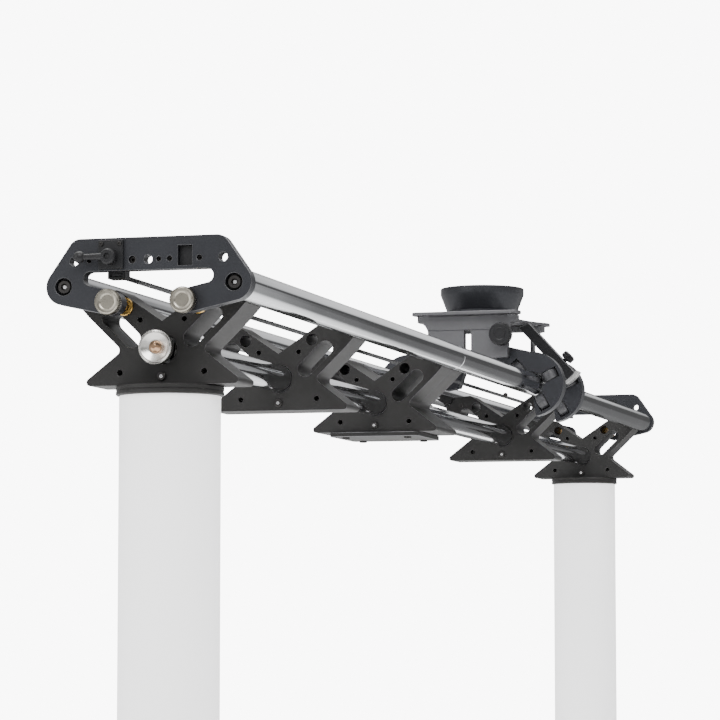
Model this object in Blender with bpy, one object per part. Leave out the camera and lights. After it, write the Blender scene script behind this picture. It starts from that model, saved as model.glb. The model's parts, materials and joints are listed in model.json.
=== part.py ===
"""Two-rail camera slider, 2 m long, in two modules, standing on two tripod pucks.

Slider coordinates: X runs along the rails from the outer face of the near end plate,
Y runs across (positive to the left when looking along +X), Z is height over the rail axes.
The parent empty turns them into the part's own frame: the origin is at the middle of the
bounding box, on the surface that the pucks stand on.
"""
import math

import bmesh
import bpy
from mathutils import Matrix, Vector

# Driving dimensions, in metres
FIT_GAP = 0.0003            # gap between pieces that rest on each other
SLIDER_LENGTH = 2.0         # outer face to outer face of the end plates
FIRST_MODULE_LENGTH = 0.8   # near module; the far module takes the rest
RAIL_GAUGE = 0.160          # between the two rail axes
RAIL_DIAMETER = 0.028
SPINE_DIAMETER = 0.028
TUBE_WALL = 0.003
SPINE_DROP = 0.054          # spine axis under the rail axes
TUBE_PLUG_LENGTH = 0.025    # solid, tapped ends of the rail tubes

PLATE_THICKNESS = 0.012
PLATE_TOP = 0.0426
PLATE_LOBE_RADIUS = 0.0165
PLATE_SLANT = math.radians(35)
PLATE_CORNER_RADIUS = 0.012
WINDOW_TOP = 0.013
WINDOW_END = 0.061
SOCKET_RADIUS = 0.008
SOCKET_DEPTH = 0.007
BOLT_RADIUS = 0.004
BOLT_HEAD_RADIUS = 0.0065
BOLT_HEAD_HEIGHT = 0.005
BOLT_LENGTH = 0.030
BEAM_HOLE_Z = 0.0225
BEAM_HOLES = ((0.070, 0.0042), (0.056, 0.0022), (0.015, 0.0034), (0.0, 0.0040),
              (-0.010, 0.0023), (-0.020, 0.0026), (-0.048, 0.0026), (-0.070, 0.0042))
POCKET_Y = 0.0345
POCKET_WIDTH = 0.0135
POCKET_BOTTOM = 0.016
POCKET_TOP = 0.034

SCREW_Y = 0.035
SCREW_Z = -0.0155
SCREW_BOSS_RADIUS = 0.011
SCREW_RADIUS = 0.004
SCREW_TURN_GAP = 0.0004
KNOB_RADIUS = 0.0115
KNOB_LENGTH = 0.009
KNOB_STANDOFF = 0.002
SCREW_END_DEPTH = 0.014     # screw length past the face of the first bracket
SPINE_KNOB_RADIUS = 0.0155
SPINE_KNOB_LENGTH = 0.009
SPINE_KNOB_SETBACK = 0.018
SPINE_HUB_LENGTH = 0.003    # cone on the face of the spine knob
SPINE_HUB_TIP_RADIUS = 0.004
SPINE_HUB_RADIUS = 0.007
RIM_CHAMFER = 0.001         # on the rims of knobs
SPINE_SCREW_RADIUS = 0.005

BRACKET_LENGTH = 0.046      # along the rails
BRACKET_SETBACK = 0.038     # from a slider end to the nearest bracket face
MIDDLE_BRACKET_SHIFT = 0.013
BRACKET_BOTTOM = -0.0865
BASE_HALF_WIDTH = 0.072
BASE_TIP_RADIUS = 0.0035    # rounded tips of the feet
WAIST_FILLET = 0.005
WAIST_Y = 0.038
WAIST_Z = -0.055
ARM_CORNER_Y = 0.070
ARM_CORNER_Z = -0.024
NOTCH_Z = -0.029
ARM_TOP_Y = 0.043
ARM_TOP_Z = 0.0
ARM_SLOT_RADIUS = 0.008
ARM_SLOT_MARGIN = 0.006
ARM_SLOT_LENGTH = 0.029
NUT_BORE_RADIUS = 0.0062
PIN_HOLE_Y = 0.021
PIN_HOLE_Z = -0.0275
PIN_HOLE_RADIUS = 0.0026
BASE_HOLE_Y = 0.040
BASE_HOLE_Z = -0.075
BASE_HOLE_RADIUS = 0.0028
SADDLE_START = math.radians(-95)
SADDLE_END = math.radians(-172)
NUT_FLANGE_RADIUS = 0.0082
NUT_FLANGE_LENGTH = 0.004
NUT_DEPTH = 0.010

PUCK_RADIUS = 0.049
PUCK_HEIGHT = 0.0085
PUCK_HOLE_RADIUS = 0.005
JOINT_PLATE_WIDTH = 0.103
JOINT_PLATE_LENGTH = 0.104
JOINT_PLATE_THICKNESS = 0.005

BELT_Y = POCKET_Y
BELT_Z = 0.0105
BELT_WIDTH = 0.010
BELT_THICKNESS = 0.0016
CLAMP_LENGTH = 0.014
CLAMP_SIDE = 0.0028         # plastic beside the belt slot
CLAMP_FLOOR = 0.0022        # plastic under the belt slot
CLAMP_HEADROOM = 0.002      # plastic over the top of the pocket
CLAMP_SLOT_GAP = 0.0004
CLAMP_NOSE = 0.003          # flange of the tensioner, in front of the plate
FLANGE_HALF_WIDTH = 0.0118
FLANGE_BOTTOM = 0.0145
FLANGE_TOP = 0.0405
CUT_MARGIN = 0.001          # how far a cutter passes the face it cuts
LEVER_HUB_RADIUS = 0.007
LEVER_HUB_LENGTH = 0.009
LEVER_ARM_OFFSET = 0.006    # arm axis in front of the tensioner
LEVER_REACH = 0.027
LEVER_BALL_RADIUS = 0.0055
LEVER_ARM_RADIUS = 0.0035

CARRIAGE_X = 1.280          # middle of the carriage, as it is parked
DECK_LENGTH = 0.200
DECK_WIDTH = 0.140
DECK_THICKNESS = 0.004
DECK_UNDERSIDE = 0.088
DECK_WAIST_DEPTH = 0.026
DECK_CORNER_RADIUS = 0.009
DECK_HOLE_RIM = 0.006       # deck hole wider than the hole in the bowl
CUTOUT_INNER = (0.056, 0.030, 0.008)   # from the deck corner in X and Y, and radius
CUTOUT_OUTER = (0.0105, 0.0105, 0.0045)
BOWL_BASE_RADIUS = 0.046
BOWL_RIM_RADIUS = 0.054
BOWL_HEIGHT = 0.038
BOWL_SEAT_RADIUS = 0.050    # 100 mm bowl
BOWL_HOLE_RADIUS = 0.020
BOWL_FLOOR = 0.006
BOWL_FOOT_SHARE = 0.2       # straight foot and straight rim, as shares of the height
BOWL_RIM_SHARE = 0.25
RISER_INSET = 0.016
RISER_THICKNESS = 0.014
RISER_BOTTOM = 0.034
RISER_TOP_HALF = 0.065
RISER_BOTTOM_HALF = 0.052
RISER_SLIT_WIDTH = 0.009
RISER_SLIT_BOTTOM = 0.044
RISER_SLIT_TOP = 0.070
RISER_LIP = 0.008
REAR_WINDOW_INNER = 0.014   # windows of the rear riser, from the middle
REAR_WINDOW_OUTER = 0.048
REAR_WINDOW_BOTTOM = 0.044
REAR_WINDOW_TOP = 0.080
YOKE_THICKNESS = 0.018
YOKE_WALL = 0.023
YOKE_RAIL_CLEARANCE = 0.0037
YOKE_TAIL_CHAMFER = 0.005
YOKE_START = math.radians(-80)
YOKE_END = math.radians(172)
YOKE_ARM_REACH = 0.046
YOKE_ARM_TOP = 0.052
YOKE_ARM_BOTTOM = 0.036
ROLLER_ANGLES = {"top": math.radians(-40), "side": math.radians(65), "under": math.radians(150)}
ROLLER_RADIUS = 0.011
ROLLER_WIDTH = 0.012
ROLLER_SIDE_GAP = 0.0008
ROLLER_TOP_GAP = 0.001
AXLE_RADIUS = 0.0025
AXLE_LENGTH = 0.020
AXLE_HOLE_GAP = 0.0004
BRACE_WIDTH = 0.016
BRACE_HALF_THICKNESS = 0.007
BRACE_YOKE_GAP = 0.003      # room for the rollers, which stand proud of the yoke
BRACE_TOP = (0.046, 0.0865)
BRACE_FOOT = (0.110, 0.017)
THUMB_PLACE = 0.072         # along the brace from its upper end
THUMB_RADIUS = 0.008
THUMB_LENGTH = 0.009
THUMB_SHAFT_RADIUS = 0.003
THUMB_STANDOFF = 0.002
LOCK_KNOB_Y = -0.046
LOCK_KNOB_Z = 0.062
LOCK_KNOB_RADIUS = 0.014
LOCK_KNOB_LENGTH = 0.015
LOCK_SHAFT_RADIUS = 0.004
LOCK_SHAFT_END = 0.006      # past the back of the riser
CIRCLE_STEPS = 24
SMALL_STEPS = 12
YOKE_STEPS = 16
BOWL_STEPS = 6
BALL_STEPS = 6

# Places that follow from the driving dimensions
RAIL_Y = RAIL_GAUGE / 2
RAIL_RADIUS = RAIL_DIAMETER / 2
SPINE_RADIUS = SPINE_DIAMETER / 2
SEAT_RADIUS = RAIL_RADIUS + FIT_GAP
YOKE_INNER_RADIUS = SEAT_RADIUS + YOKE_RAIL_CLEARANCE
YOKE_OUTER_RADIUS = YOKE_INNER_RADIUS + YOKE_WALL
STAND_HEIGHT = PUCK_HEIGHT + FIT_GAP - BRACKET_BOTTOM
KNOB_REACH = KNOB_STANDOFF + KNOB_LENGTH
LEVER_REACH_FRONT = CLAMP_NOSE + FIT_GAP + LEVER_ARM_OFFSET + LEVER_BALL_RADIUS
ORIGIN_X = (SLIDER_LENGTH + CLAMP_NOSE - max(KNOB_REACH, LEVER_REACH_FRONT)) / 2
PLATE_BACK = PLATE_THICKNESS + FIT_GAP
DECK_FRONT = CARRIAGE_X - DECK_LENGTH / 2
DECK_BACK = CARRIAGE_X + DECK_LENGTH / 2
RISER_FRONT = DECK_FRONT + RISER_INSET
RISER_REAR = DECK_BACK - RISER_INSET
SIDES = {"left": 1, "right": -1}


# ---------- materials ----------

def makeMaterial(name, colour, roughness, metallic):
    material = bpy.data.materials.new(name)
    material.use_nodes = True
    shader = material.node_tree.nodes["Principled BSDF"]
    shader.inputs["Base Color"].default_value = (*colour, 1.0)
    shader.inputs["Roughness"].default_value = roughness
    shader.inputs["Metallic"].default_value = metallic
    material.diffuse_color = (*colour, 1.0)
    return material


def plateAnodise():
    return makeMaterial("plate_anodise", (0.075, 0.077, 0.085), 0.42, 0.85)


def bracketAnodise():
    return makeMaterial("bracket_anodise", (0.05, 0.048, 0.047), 0.40, 0.85)


def polishedSteel():
    return makeMaterial("polished_steel", (0.82, 0.83, 0.84), 0.08, 1.0)


def satinNickel():
    return makeMaterial("satin_nickel", (0.66, 0.65, 0.61), 0.30, 1.0)


def brass():
    return makeMaterial("brass", (0.70, 0.48, 0.18), 0.28, 1.0)


def beltRubber():
    return makeMaterial("belt_rubber", (0.018, 0.018, 0.02), 0.65, 0.0)


def blackPlastic():
    return makeMaterial("black_plastic", (0.02, 0.02, 0.022), 0.45, 0.0)


def greyAnodise():
    return makeMaterial("grey_anodise", (0.24, 0.245, 0.26), 0.45, 0.8)


def rollerUrethane():
    return makeMaterial("roller_urethane", (0.07, 0.07, 0.075), 0.40, 0.0)


# ---------- shapes ----------

def arc(centreY, centreZ, radius, start, end, steps):
    """Points of an arc in the YZ plane, both ends included."""
    points = []
    for index in range(steps + 1):
        angle = start + (end - start) * index / steps
        points.append((centreY + radius * math.cos(angle), centreZ + radius * math.sin(angle)))
    return points


def circle(centreY, centreZ, radius, steps=CIRCLE_STEPS):
    return arc(centreY, centreZ, radius, 0.0, 2 * math.pi, steps)[:-1]


def fillet(before, corner, after, radius, steps):
    """Points of the arc that rounds a corner between two straight edges in the YZ plane."""
    backward = (Vector(before) - Vector(corner)).normalized()
    forward = (Vector(after) - Vector(corner)).normalized()
    halfAngle = backward.angle(forward) / 2
    centre = Vector(corner) + (backward + forward).normalized() * radius / math.sin(halfAngle)
    start = Vector(corner) + backward * radius / math.tan(halfAngle) - centre
    sweep = math.copysign(math.pi - 2 * halfAngle, backward.x * forward.y - backward.y * forward.x)
    lean = math.atan2(start.y, start.x)
    return arc(centre.x, centre.y, radius, lean, lean - sweep, steps)


def mirrored(half):
    """A closed outline from its +Y half, given from the middle round to the middle."""
    return half + [(-y, z) for y, z in reversed(half)]


def throughHole(loop, start, end):
    return [(start, loop), (end, loop)]


def prism(outline, start, end, holes=()):
    """A solid along X from a YZ outline, with holes given as (x, loop) sections."""
    mesh = bmesh.new()

    def ring(x, loop):
        return [mesh.verts.new((x, y, z)) for y, z in loop]

    def wall(first, second):
        count = len(first)
        for index in range(count):
            after = (index + 1) % count
            mesh.faces.new((first[index], first[after], second[after], second[index]))

    borders = [[(start, outline), (end, outline)], *holes]
    caps = ([], [])
    for sections in borders:
        rings = [ring(x, loop) for x, loop in sections]
        for first, second in zip(rings, rings[1:]):
            wall(first, second)
        caps[0].append(rings[0])
        caps[1].append(rings[-1])
    for rings in caps:
        edges = []
        for verts in rings:
            for index, vert in enumerate(verts):
                edges.append(mesh.edges.get((vert, verts[(index + 1) % len(verts)])))
        bmesh.ops.triangle_fill(mesh, edges=edges, use_beauty=True)
    bmesh.ops.recalc_face_normals(mesh, faces=mesh.faces)
    return mesh


def turned(profile, steps):
    """A solid of revolution about X from (x, radius) points; radius 0 closes an end."""
    mesh = bmesh.new()
    rings = []
    for x, radius in profile:
        if radius == 0:
            rings.append([mesh.verts.new((x, 0, 0))])
            continue
        ring = []
        for index in range(steps):
            angle = 2 * math.pi * index / steps
            ring.append(mesh.verts.new((x, radius * math.cos(angle), radius * math.sin(angle))))
        rings.append(ring)
    if len(rings[0]) > 1:
        rings.append(rings[0])
    for first, second in zip(rings, rings[1:]):
        for index in range(steps):
            after = (index + 1) % steps
            corners = [first[index % len(first)], first[after % len(first)],
                       second[after % len(second)], second[index % len(second)]]
            mesh.faces.new(list(dict.fromkeys(corners)))
    bmesh.ops.recalc_face_normals(mesh, faces=mesh.faces)
    return mesh


def aimed(mesh, origin, direction):
    """Turns a solid made about X so that its X axis points along direction, at origin."""
    turn = Vector((1, 0, 0)).rotation_difference(Vector(direction)).to_matrix().to_4x4()
    mesh.transform(Matrix.Translation(Vector(origin)) @ turn)
    return mesh


def box(low, high):
    outline = [(low[1], low[2]), (high[1], low[2]), (high[1], high[2]), (low[1], high[2])]
    return prism(outline, low[0], high[0])


def addPiece(name, mesh, material, pivot=(0, 0, 0)):
    """Makes an object whose origin is at pivot from a mesh in slider coordinates."""
    mesh.transform(Matrix.Translation(-Vector(pivot)))
    data = bpy.data.meshes.new(name)
    mesh.to_mesh(data)
    mesh.free()
    data.materials.append(material)
    data.shade_smooth()
    data.set_sharp_from_angle(angle=math.radians(30))
    piece = bpy.data.objects.new(name, data)
    bpy.context.scene.collection.objects.link(piece)
    piece.location = pivot
    piece.parent = slider
    return piece


def addBoolean(piece, toolMesh, name, operation):
    tool = addPiece(name, toolMesh, piece.data.materials[0], piece.location)
    tool.hide_render = True
    tool.display_type = "WIRE"
    modifier = piece.modifiers.new(name, "BOOLEAN")
    modifier.operation = operation
    modifier.solver = "EXACT"
    modifier.object = tool


def cutAway(piece, cutterMesh, name):
    addBoolean(piece, cutterMesh, name, "DIFFERENCE")


def joinTo(piece, addedMesh, name):
    addBoolean(piece, addedMesh, name, "UNION")


def joined(meshes):
    whole = bmesh.new()
    for mesh in meshes:
        data = bpy.data.meshes.new("joined")
        mesh.to_mesh(data)
        mesh.free()
        whole.from_mesh(data)
        bpy.data.meshes.remove(data)
    return whole


# ---------- end plates ----------

def plateOutline():
    """Top beam, round lobes at the rails and two lower arms that end round the screws."""
    cornerY = RAIL_Y + (PLATE_LOBE_RADIUS - PLATE_TOP * math.sin(PLATE_SLANT)) / math.cos(PLATE_SLANT)
    cornerY -= PLATE_CORNER_RADIUS * math.tan((math.pi / 2 - PLATE_SLANT) / 2)
    acrossY = SCREW_Y - RAIL_Y
    span = math.hypot(acrossY, SCREW_Z)
    lean = math.atan2(SCREW_Z, acrossY)
    under = lean + math.acos((PLATE_LOBE_RADIUS - SCREW_BOSS_RADIUS) / span)
    if under > math.pi:
        under -= 2 * math.pi
    over = under + math.pi
    room = (WINDOW_END - SCREW_Y) * math.cos(over) + (WINDOW_TOP - SCREW_Z) * math.sin(over)
    windowRadius = (room - SCREW_BOSS_RADIUS) / (1 + math.cos(over) + math.sin(over))
    half = arc(cornerY, PLATE_TOP - PLATE_CORNER_RADIUS, PLATE_CORNER_RADIUS,
               math.pi / 2, PLATE_SLANT, 4)
    half += arc(RAIL_Y, 0, PLATE_LOBE_RADIUS, PLATE_SLANT, under, 10)
    half += arc(SCREW_Y, SCREW_Z, SCREW_BOSS_RADIUS, under, under - math.pi, 8)
    half += arc(WINDOW_END - windowRadius, WINDOW_TOP - windowRadius, windowRadius,
                under, math.pi / 2, 8)
    return mirrored(half)


def endPlate(name, outerFace, inward):
    """inward is +1 at the near end and -1 at the far end, seen along X."""
    innerFace = outerFace + inward * PLATE_THICKNESS
    socketFloor = outerFace + inward * SOCKET_DEPTH
    holes = []
    for side in SIDES.values():
        wide = circle(side * RAIL_Y, 0, SOCKET_RADIUS, SMALL_STEPS)
        narrow = circle(side * RAIL_Y, 0, BOLT_RADIUS + FIT_GAP, SMALL_STEPS)
        holes.append([(outerFace, wide), (socketFloor, wide), (socketFloor, narrow),
                      (innerFace, narrow)])
        screwHole = circle(side * SCREW_Y, SCREW_Z, SCREW_RADIUS + SCREW_TURN_GAP, SMALL_STEPS)
        holes.append(throughHole(screwHole, outerFace, innerFace))
        left = side * POCKET_Y - POCKET_WIDTH / 2
        right = side * POCKET_Y + POCKET_WIDTH / 2
        pocket = [(left, POCKET_BOTTOM), (right, POCKET_BOTTOM), (right, POCKET_TOP), (left, POCKET_TOP)]
        holes.append(throughHole(pocket, outerFace, innerFace))
    for holeY, radius in BEAM_HOLES:
        holes.append(throughHole(circle(holeY, BEAM_HOLE_Z, radius, 10), outerFace, innerFace))
    addPiece(name, prism(plateOutline(), outerFace, innerFace, holes), plateAnodise())


def endPlates():
    endPlate("end_plate_near", 0.0, 1)
    endPlate("end_plate_far", SLIDER_LENGTH, -1)


def railBolts():
    """Socket bolts that hold the end plates to the plugged ends of the rails."""
    for endName, outerFace, inward in (("near", 0.0, 1), ("far", SLIDER_LENGTH, -1)):
        for sideName, side in SIDES.items():
            seat = SOCKET_DEPTH - FIT_GAP
            profile = [(seat - BOLT_HEAD_HEIGHT, 0), (seat - BOLT_HEAD_HEIGHT, BOLT_HEAD_RADIUS),
                       (seat, BOLT_HEAD_RADIUS), (seat, BOLT_RADIUS), (BOLT_LENGTH, BOLT_RADIUS),
                       (BOLT_LENGTH, 0)]
            bolt = aimed(turned(profile, SMALL_STEPS), (outerFace, side * RAIL_Y, 0), (inward, 0, 0))
            addPiece(f"rail_bolt_{endName}_{sideName}", bolt, satinNickel())


# ---------- tubes ----------

def tube(name, centreY, centreZ, radius, start, end, plugs):
    """A tube along X; plugs are the tapped plugs pressed into its (start, end)."""
    bore = circle(centreY, centreZ, radius - TUBE_WALL, CIRCLE_STEPS)
    tapped = circle(centreY, centreZ, BOLT_RADIUS + FIT_GAP, CIRCLE_STEPS)
    sections = []
    if plugs[0]:
        sections += [(start, tapped), (start + TUBE_PLUG_LENGTH, tapped), (start + TUBE_PLUG_LENGTH, bore)]
    else:
        sections += [(start, bore)]
    if plugs[1]:
        sections += [(end - TUBE_PLUG_LENGTH, bore), (end - TUBE_PLUG_LENGTH, tapped), (end, tapped)]
    else:
        sections += [(end, bore)]
    addPiece(name, prism(circle(centreY, centreZ, radius), start, end, [sections]), polishedSteel())


def tubes():
    seam = FIRST_MODULE_LENGTH
    spineStart = BRACKET_SETBACK + SPINE_SCREW_RADIUS
    for sideName, side in SIDES.items():
        tube(f"rail_{sideName}_first", side * RAIL_Y, 0, RAIL_RADIUS, PLATE_BACK, seam - FIT_GAP / 2,
             (True, False))
        tube(f"rail_{sideName}_second", side * RAIL_Y, 0, RAIL_RADIUS, seam + FIT_GAP / 2,
             SLIDER_LENGTH - PLATE_BACK, (False, True))
    tube("spine_first", 0, -SPINE_DROP, SPINE_RADIUS, spineStart, seam - FIT_GAP / 2, (False, False))
    tube("spine_second", 0, -SPINE_DROP, SPINE_RADIUS, seam + FIT_GAP / 2,
         SLIDER_LENGTH - spineStart, (False, False))


# ---------- cross brackets ----------

def bracketFaces():
    """Name and near face of each cross bracket."""
    firstMiddle = FIRST_MODULE_LENGTH / 2 + MIDDLE_BRACKET_SHIFT - BRACKET_LENGTH / 2
    secondMiddle = (FIRST_MODULE_LENGTH + SLIDER_LENGTH) / 2 + MIDDLE_BRACKET_SHIFT
    return (("near", BRACKET_SETBACK),
            ("first_middle", firstMiddle),
            ("joint_first", FIRST_MODULE_LENGTH - BRACKET_LENGTH - FIT_GAP / 2),
            ("joint_second", FIRST_MODULE_LENGTH + FIT_GAP / 2),
            ("second_middle", secondMiddle - BRACKET_LENGTH / 2),
            ("far", SLIDER_LENGTH - BRACKET_SETBACK - BRACKET_LENGTH))


def bracketOutline():
    """Wide base, waist at the spine and two arms whose ends are saddles for the rails."""
    tip = (BASE_HALF_WIDTH - BASE_TIP_RADIUS, BRACKET_BOTTOM + BASE_TIP_RADIUS)
    waist = (WAIST_Y, WAIST_Z)
    corner = (ARM_CORNER_Y, ARM_CORNER_Z)
    tangent = math.atan2(waist[1] - tip[1], waist[0] - tip[0])
    tangent -= math.acos(BASE_TIP_RADIUS / math.dist(waist, tip))
    half = arc(*tip, BASE_TIP_RADIUS, -math.pi / 2, tangent, 4)
    half += fillet(half[-1], waist, corner, WAIST_FILLET, 4)
    half.append(corner)
    half += arc(RAIL_Y, 0, SEAT_RADIUS, SADDLE_START, SADDLE_END, 8)
    half += [(ARM_TOP_Y, ARM_TOP_Z), (0.0, NOTCH_Z)]
    return half + [(-y, z) for y, z in reversed(half[:-1])]


def armSlot(side):
    """A long slot beside the outer edge of an arm."""
    edgeY = ARM_CORNER_Y - WAIST_Y
    edgeZ = ARM_CORNER_Z - WAIST_Z
    lean = math.atan2(edgeZ, edgeY)
    inset = ARM_SLOT_MARGIN + ARM_SLOT_RADIUS
    startY = WAIST_Y - inset * math.sin(lean)
    startZ = WAIST_Z + inset * math.cos(lean)
    endY = startY + ARM_SLOT_LENGTH * math.cos(lean)
    endZ = startZ + ARM_SLOT_LENGTH * math.sin(lean)
    loop = arc(startY, startZ, ARM_SLOT_RADIUS, lean + math.pi / 2, lean + 3 * math.pi / 2, 8)
    loop += arc(endY, endZ, ARM_SLOT_RADIUS, lean - math.pi / 2, lean + math.pi / 2, 8)
    return [(side * y, z) for y, z in loop]


def crossBrackets():
    for name, nearFace in bracketFaces():
        farFace = nearFace + BRACKET_LENGTH
        loops = [circle(0, -SPINE_DROP, SPINE_RADIUS + FIT_GAP)]
        for side in SIDES.values():
            loops.append(armSlot(side))
            loops.append(circle(side * SCREW_Y, SCREW_Z, NUT_BORE_RADIUS, SMALL_STEPS))
            loops.append(circle(side * PIN_HOLE_Y, PIN_HOLE_Z, PIN_HOLE_RADIUS, 8))
            loops.append(circle(side * BASE_HOLE_Y, BASE_HOLE_Z, BASE_HOLE_RADIUS, 8))
        holes = [throughHole(loop, nearFace, farFace) for loop in loops]
        addPiece(f"cross_bracket_{name}", prism(bracketOutline(), nearFace, farFace, holes),
                 bracketAnodise())


def brassNuts():
    """Flanged brass nuts in the end brackets, bored for the module screws."""
    bore = SCREW_RADIUS + SCREW_TURN_GAP
    nearSeat = BRACKET_SETBACK - FIT_GAP
    for endName, seat, inward in (("near", nearSeat, 1), ("far", SLIDER_LENGTH - nearSeat, -1)):
        for sideName, side in SIDES.items():
            profile = [(-NUT_FLANGE_LENGTH, bore), (-NUT_FLANGE_LENGTH, NUT_FLANGE_RADIUS),
                       (0, NUT_FLANGE_RADIUS), (0, NUT_BORE_RADIUS - FIT_GAP),
                       (NUT_DEPTH, NUT_BORE_RADIUS - FIT_GAP), (NUT_DEPTH, bore)]
            nut = aimed(turned(profile, SMALL_STEPS), (seat, side * SCREW_Y, SCREW_Z), (inward, 0, 0))
            addPiece(f"brass_nut_{endName}_{sideName}", nut, brass())


def moduleScrews():
    """Captive knurled screws that join one slider to the next."""
    reach = BRACKET_SETBACK + SCREW_END_DEPTH
    for sideName, side in SIDES.items():
        rim = KNOB_RADIUS - RIM_CHAMFER
        profile = [(-KNOB_REACH, 0), (-KNOB_REACH, rim), (-KNOB_REACH + RIM_CHAMFER, KNOB_RADIUS),
                   (-KNOB_STANDOFF - RIM_CHAMFER, KNOB_RADIUS), (-KNOB_STANDOFF, rim),
                   (-KNOB_STANDOFF, SCREW_RADIUS), (reach, SCREW_RADIUS), (reach, 0)]
        pivot = (0, side * SCREW_Y, SCREW_Z)
        addPiece(f"module_screw_{sideName}", aimed(turned(profile, 20), pivot, (1, 0, 0)),
                 satinNickel(), pivot)
    back = SPINE_KNOB_SETBACK + SPINE_KNOB_LENGTH
    tip = SPINE_KNOB_SETBACK - SPINE_HUB_LENGTH
    profile = [(tip, 0), (tip, SPINE_HUB_TIP_RADIUS), (SPINE_KNOB_SETBACK, SPINE_HUB_RADIUS),
               (SPINE_KNOB_SETBACK, SPINE_KNOB_RADIUS - RIM_CHAMFER),
               (SPINE_KNOB_SETBACK + RIM_CHAMFER, SPINE_KNOB_RADIUS), (back, SPINE_KNOB_RADIUS),
               (back, SPINE_SCREW_RADIUS), (reach, SPINE_SCREW_RADIUS), (reach, 0)]
    pivot = (0, 0, -SPINE_DROP)
    addPiece("spine_screw", aimed(turned(profile, 24), pivot, (1, 0, 0)), satinNickel(), pivot)


# ---------- feet ----------

def pucks():
    """Round tripod adapters under the end brackets."""
    middles = {"near": BRACKET_SETBACK + BRACKET_LENGTH / 2}
    middles["far"] = SLIDER_LENGTH - middles["near"]
    for name, middle in middles.items():
        profile = [(0, PUCK_HOLE_RADIUS), (0, PUCK_RADIUS), (PUCK_HEIGHT, PUCK_RADIUS),
                   (PUCK_HEIGHT, PUCK_HOLE_RADIUS)]
        puck = aimed(turned(profile, 32), (middle, 0, -STAND_HEIGHT), (0, 0, 1))
        addPiece(f"tripod_puck_{name}", puck, bracketAnodise())


def jointPlate():
    top = BRACKET_BOTTOM - FIT_GAP
    low = (FIRST_MODULE_LENGTH - JOINT_PLATE_LENGTH / 2, -JOINT_PLATE_WIDTH / 2,
           top - JOINT_PLATE_THICKNESS)
    high = (FIRST_MODULE_LENGTH + JOINT_PLATE_LENGTH / 2, JOINT_PLATE_WIDTH / 2, top)
    addPiece("joint_plate", box(low, high), bracketAnodise())


# ---------- belt ----------

def timingBelt():
    start = PLATE_BACK + FIT_GAP
    low = (start, BELT_Y - BELT_WIDTH / 2, BELT_Z - BELT_THICKNESS / 2)
    high = (SLIDER_LENGTH - start, BELT_Y + BELT_WIDTH / 2, BELT_Z + BELT_THICKNESS / 2)
    addPiece("timing_belt", box(low, high), beltRubber())


def beltClamps():
    """A clamp behind each plate that grips a belt end; its nose fills the plate's pocket."""
    for endName, outerFace, inward in (("near", 0.0, 1), ("far", SLIDER_LENGTH, -1)):
        halfNose = POCKET_WIDTH / 2 - FIT_GAP
        halfBody = BELT_WIDTH / 2 + CLAMP_SLOT_GAP + CLAMP_SIDE
        slotHalf = BELT_THICKNESS / 2 + CLAMP_SLOT_GAP
        foot = BELT_Z - slotHalf - CLAMP_FLOOR
        bodyTop = POCKET_TOP + CLAMP_HEADROOM
        faces = (outerFace + inward * PLATE_BACK, outerFace + inward * (PLATE_BACK + CLAMP_LENGTH))
        body = box((min(faces), BELT_Y - halfBody, foot), (max(faces), BELT_Y + halfBody, bodyTop))
        clamp = addPiece(f"belt_clamp_{endName}", body, blackPlastic())
        slotSide = BELT_WIDTH / 2 + CLAMP_SLOT_GAP
        slot = box((min(faces) - CUT_MARGIN, BELT_Y - slotSide, BELT_Z - slotHalf),
                   (max(faces) + CUT_MARGIN, BELT_Y + slotSide, BELT_Z + slotHalf))
        cutAway(clamp, slot, f"cutter_belt_slot_{endName}")
        noseFaces = (outerFace - inward * CLAMP_NOSE, outerFace + inward * (PLATE_BACK - FIT_GAP * 2))
        nose = box((min(noseFaces), BELT_Y - halfNose, POCKET_BOTTOM + FIT_GAP),
                   (max(noseFaces), BELT_Y + halfNose, POCKET_TOP - FIT_GAP))
        tensioner = addPiece(f"belt_tensioner_{endName}", nose, blackPlastic())
        flangeFaces = (outerFace - inward * CLAMP_NOSE, outerFace - inward * FIT_GAP)
        flange = box((min(flangeFaces), BELT_Y - FLANGE_HALF_WIDTH, FLANGE_BOTTOM),
                     (max(flangeFaces), BELT_Y + FLANGE_HALF_WIDTH, FLANGE_TOP))
        joinTo(tensioner, flange, f"cutter_tensioner_flange_{endName}")


def tensionLever():
    """Clamping lever on the near tensioner, with a ball on its arm."""
    face = -CLAMP_NOSE - FIT_GAP
    hubZ = (POCKET_BOTTOM + POCKET_TOP) / 2
    pivot = (face, BELT_Y, hubZ)
    hub = turned([(0, 0), (0, LEVER_HUB_RADIUS), (-LEVER_HUB_LENGTH, LEVER_HUB_RADIUS),
                  (-LEVER_HUB_LENGTH, 0)], 16)
    reach = LEVER_REACH
    ball = LEVER_BALL_RADIUS
    neck = math.sqrt(ball ** 2 - LEVER_ARM_RADIUS ** 2)
    profile = [(LEVER_HUB_RADIUS / 2, 0), (LEVER_HUB_RADIUS / 2, LEVER_ARM_RADIUS),
               (reach - neck, LEVER_ARM_RADIUS)]
    tilt = math.asin(LEVER_ARM_RADIUS / ball)
    for index in range(1, BALL_STEPS):
        angle = (math.pi - tilt) * (1 - index / BALL_STEPS)
        profile.append((reach + ball * math.cos(angle), ball * math.sin(angle)))
    profile.append((reach + ball, 0))
    arm = aimed(turned(profile, 12), (-LEVER_ARM_OFFSET, 0, 0), (0, 1, 0))
    lever = addPiece("tension_lever", aimed(hub, pivot, (1, 0, 0)), blackPlastic(), pivot)
    joinTo(lever, aimed(arm, pivot, (1, 0, 0)), "cutter_lever_arm")


# ---------- carriage ----------

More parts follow.
